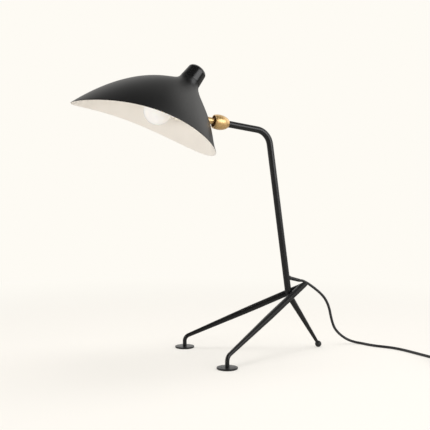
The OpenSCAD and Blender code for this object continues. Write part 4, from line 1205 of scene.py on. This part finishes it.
def boot_rings():
    """The plug's boot: four ribs, then a smooth widening into the grip."""
    rings = []
    for k in range(BOOT_RIBS):
        z = 0.3 + BOOT_PITCH * k
        r = CORD_D / 2 + BOOT_WALL + BOOT_FLARE * z
        rings += [plan_ring(2 * r, 2 * r, r - 0.01, less, z + dz) for dz, less in BOOT_RIB]
    rings[0] = plan_ring(BOOT_START_D, BOOT_START_D, 3.0, 0, 0)
    for k in range(WIDEN_STEPS + 1):
        share = 0.5 - 0.5 * cos(pi * k / WIDEN_STEPS)
        wide, tall = BOOT_W + (PLUG_W - BOOT_W) * share, BOOT_H + (PLUG_H - BOOT_H) * share
        z = BOOT_END + (GRIP_START - BOOT_END) * k / WIDEN_STEPS
        rings.append(plan_ring(wide, tall, PLUG_ROUND, 0, z))
    return rings


def make_plug():
    """A moulded plug: a ribbed boot that widens into the grip, with finger grooves."""
    at = LAMP @ place(coil_line()[-1]) @ turned("Z", 360 * COIL_ALL - 90) @ turned("X", -90)
    rows = [(less, GRIP_START + 1 + GRIP_PITCH * k + dz)
            for k in range(GRIP_GROOVES) for dz, less in GRIP_GROOVE]
    rows += quarter(PLUG_EDGE, PLUG_LEN, 1)
    rings = boot_rings() + [plan_ring(PLUG_W, PLUG_H, PLUG_ROUND, inset, z) for inset, z in rows]
    plug = shell("plug_grip", capped(rings), at, smooth_angle=40)
    cut(plug, [
        block("slot_tool", BLADE_T + BLADE_PLAY, BLADE_W + BLADE_PLAY, 0.1, PLUG_LEN - BLADE_DEPTH,
              PLUG_LEN + 1, at @ place((x, 0, 0)))
        for x in (-BLADE_PITCH / 2, BLADE_PITCH / 2)
    ])
    wear(plug, moulded, "stand", "cord_black", "plug_body")


make_switch()
make_rocker()
make_tie()
make_plug()


# ---- floor, backdrop and light
PALE = (0.991, 0.965, 0.905)
FLOOR_PAINT = (0.87, 0.835, 0.785, 1)
FLOOR_HALF = 3.0
# The floor as the camera sees it: from a mix with the lit floor near the lamp to plain pale far off
FLOOR_FADE = (0.35, 1.2)
FLOOR_NEAR = 0.5
FLOOR_IN_GLOSS = 0.38
ROOM_TINT = (1.0, 0.985, 0.955, 1)
ROOM_DIM = 0.05
# Bright parts of the room: direction, cosines where each starts and is full, and strength
ROOM_GLOWS = (
    ((0.93, 0.13, 0.35), 0.80, 0.97, 1.26),
    ((0.0, 0.97, 0.25), 0.50, 1.0, 0.75),
    ((0.3, 0.45, 0.84), 0.82, 1.0, 0.42),
    ((-0.93, 0.35, -0.1), 0.60, 0.98, 1.2),
)
LIGHTS_AIM = (0, 0, 0.3)
# Lamps: name, place, size, watts, and whether reflections show it
LIGHTS = (
    ("overhead", (0.0, 0.1, 2.3), (2.2, 1.4), 39, False),
    ("left_fill", (-1.7, -1.4, 0.28), (1.2, 0.5), 12, False),
    ("front_box", (1.05, -1.8, 0.95), (1.9, 1.5), 28, True),
)


def ray_kinds(tree):
    """Masks of the rays that see the surroundings directly or through glass, and of glossy ones."""
    rays = add(tree, "LightPath")
    seen = maths(tree, "MAXIMUM", rays.outputs["Is Camera Ray"], rays.outputs["Is Transmission Ray"])
    return seen, rays.outputs["Is Glossy Ray"]


def vector_value(tree, operation, vector, other=None):
    """The value of a vector operation, such as a length or a dot product."""
    node = add(tree, "VectorMath")
    node.operation = operation
    link(vector, node.inputs[0])
    if other is not None:
        node.inputs[1].default_value = other
    return node.outputs["Value"]


def smooth_step(tree, value, start, full, low, high):
    """Runs smoothly from low to high as the value goes from start to full."""
    node = add(tree, "MapRange")
    node.interpolation_type = "SMOOTHSTEP"
    set_inputs(node, Value=value, From_Min=start, From_Max=full, To_Min=low, To_Max=high)
    return node.outputs["Result"]


def mix_into(tree, factor, first, second, output):
    """Links a mix of two shaders to the output node."""
    mix = add(tree, "MixShader")
    for index, source in enumerate((factor, first.outputs[0], second.outputs[0])):
        link(source, mix.inputs[index])
    link(mix.outputs[0], tree.nodes[output].inputs["Surface"])


def make_floor():
    """A matt floor that fades into the pale backdrop, and is dimmer in reflections."""
    corners = [(x * FLOOR_HALF, y * FLOOR_HALF, 0) for x, y in ((-1, -1), (1, -1), (1, 1), (-1, 1))]
    mesh = bpy.data.meshes.new("floor")
    mesh.from_pydata(corners, [], [(0, 1, 2, 3)])
    material, tree, bsdf = base_shader("pale_floor")
    set_inputs(bsdf, Base_Color=FLOOR_PAINT, Roughness=0.7, Specular_IOR_Level=0.1)
    glow = add(tree, "Emission")
    seen, glossy = ray_kinds(tree)
    less = maths(tree, "MULTIPLY", glossy, 1 - FLOOR_IN_GLOSS)
    set_inputs(glow, Color=rgba(PALE), Strength=maths(tree, "SUBTRACT", 1.0, less))
    where = add(tree, "NewGeometry")
    distance = vector_value(tree, "LENGTH", where.outputs["Position"])
    far = smooth_step(tree, distance, *FLOOR_FADE, FLOOR_NEAR, 1.0)
    factor = maths(tree, "MAXIMUM", maths(tree, "MULTIPLY", seen, far), glossy)
    mix_into(tree, factor, bsdf, glow, "Material Output")
    material.cycles.emission_sampling = "NONE"
    mesh.materials.append(material)
    add_object("floor", mesh)


def make_world():
    """A dim room with broad glows beside, behind and above the lamp, on a pale background."""
    world = bpy.data.worlds.new("studio")
    bpy.context.scene.world = world
    world.use_nodes = True
    tree = world.node_tree
    where = add(tree, "TexCoord")
    level = ROOM_DIM
    for direction, start, full, strength in ROOM_GLOWS:
        towards = vector_value(tree, "DOT_PRODUCT", where.outputs["Generated"],
                               Vector(direction).normalized())
        level = maths(tree, "ADD", smooth_step(tree, towards, start, full, 0.0, strength), level)
    room = tree.nodes["Background"]
    set_inputs(room, Color=ROOM_TINT, Strength=level)
    backdrop = add(tree, "Background")
    set_inputs(backdrop, Color=rgba(PALE))
    mix_into(tree, ray_kinds(tree)[0], room, backdrop, "World Output")


def make_lamp(name, at, size, power, in_gloss):
    """A rectangular lamp that is aimed at the middle of the table lamp."""
    data = bpy.data.lights.new(name, "AREA")
    data.shape = "RECTANGLE"
    data.size, data.size_y = size
    data.energy = power
    lamp = add_object(name, data)
    aim = (Vector(LIGHTS_AIM) - Vector(at)).to_track_quat("-Z", "Y")
    lamp.matrix_world = Matrix.Translation(at) @ aim.to_matrix().to_4x4()
    lamp.visible_glossy = in_gloss


make_floor()
make_world()
for light in LIGHTS:
    make_lamp(*light)
bpy.context.scene.view_settings.view_transform = "Standard"
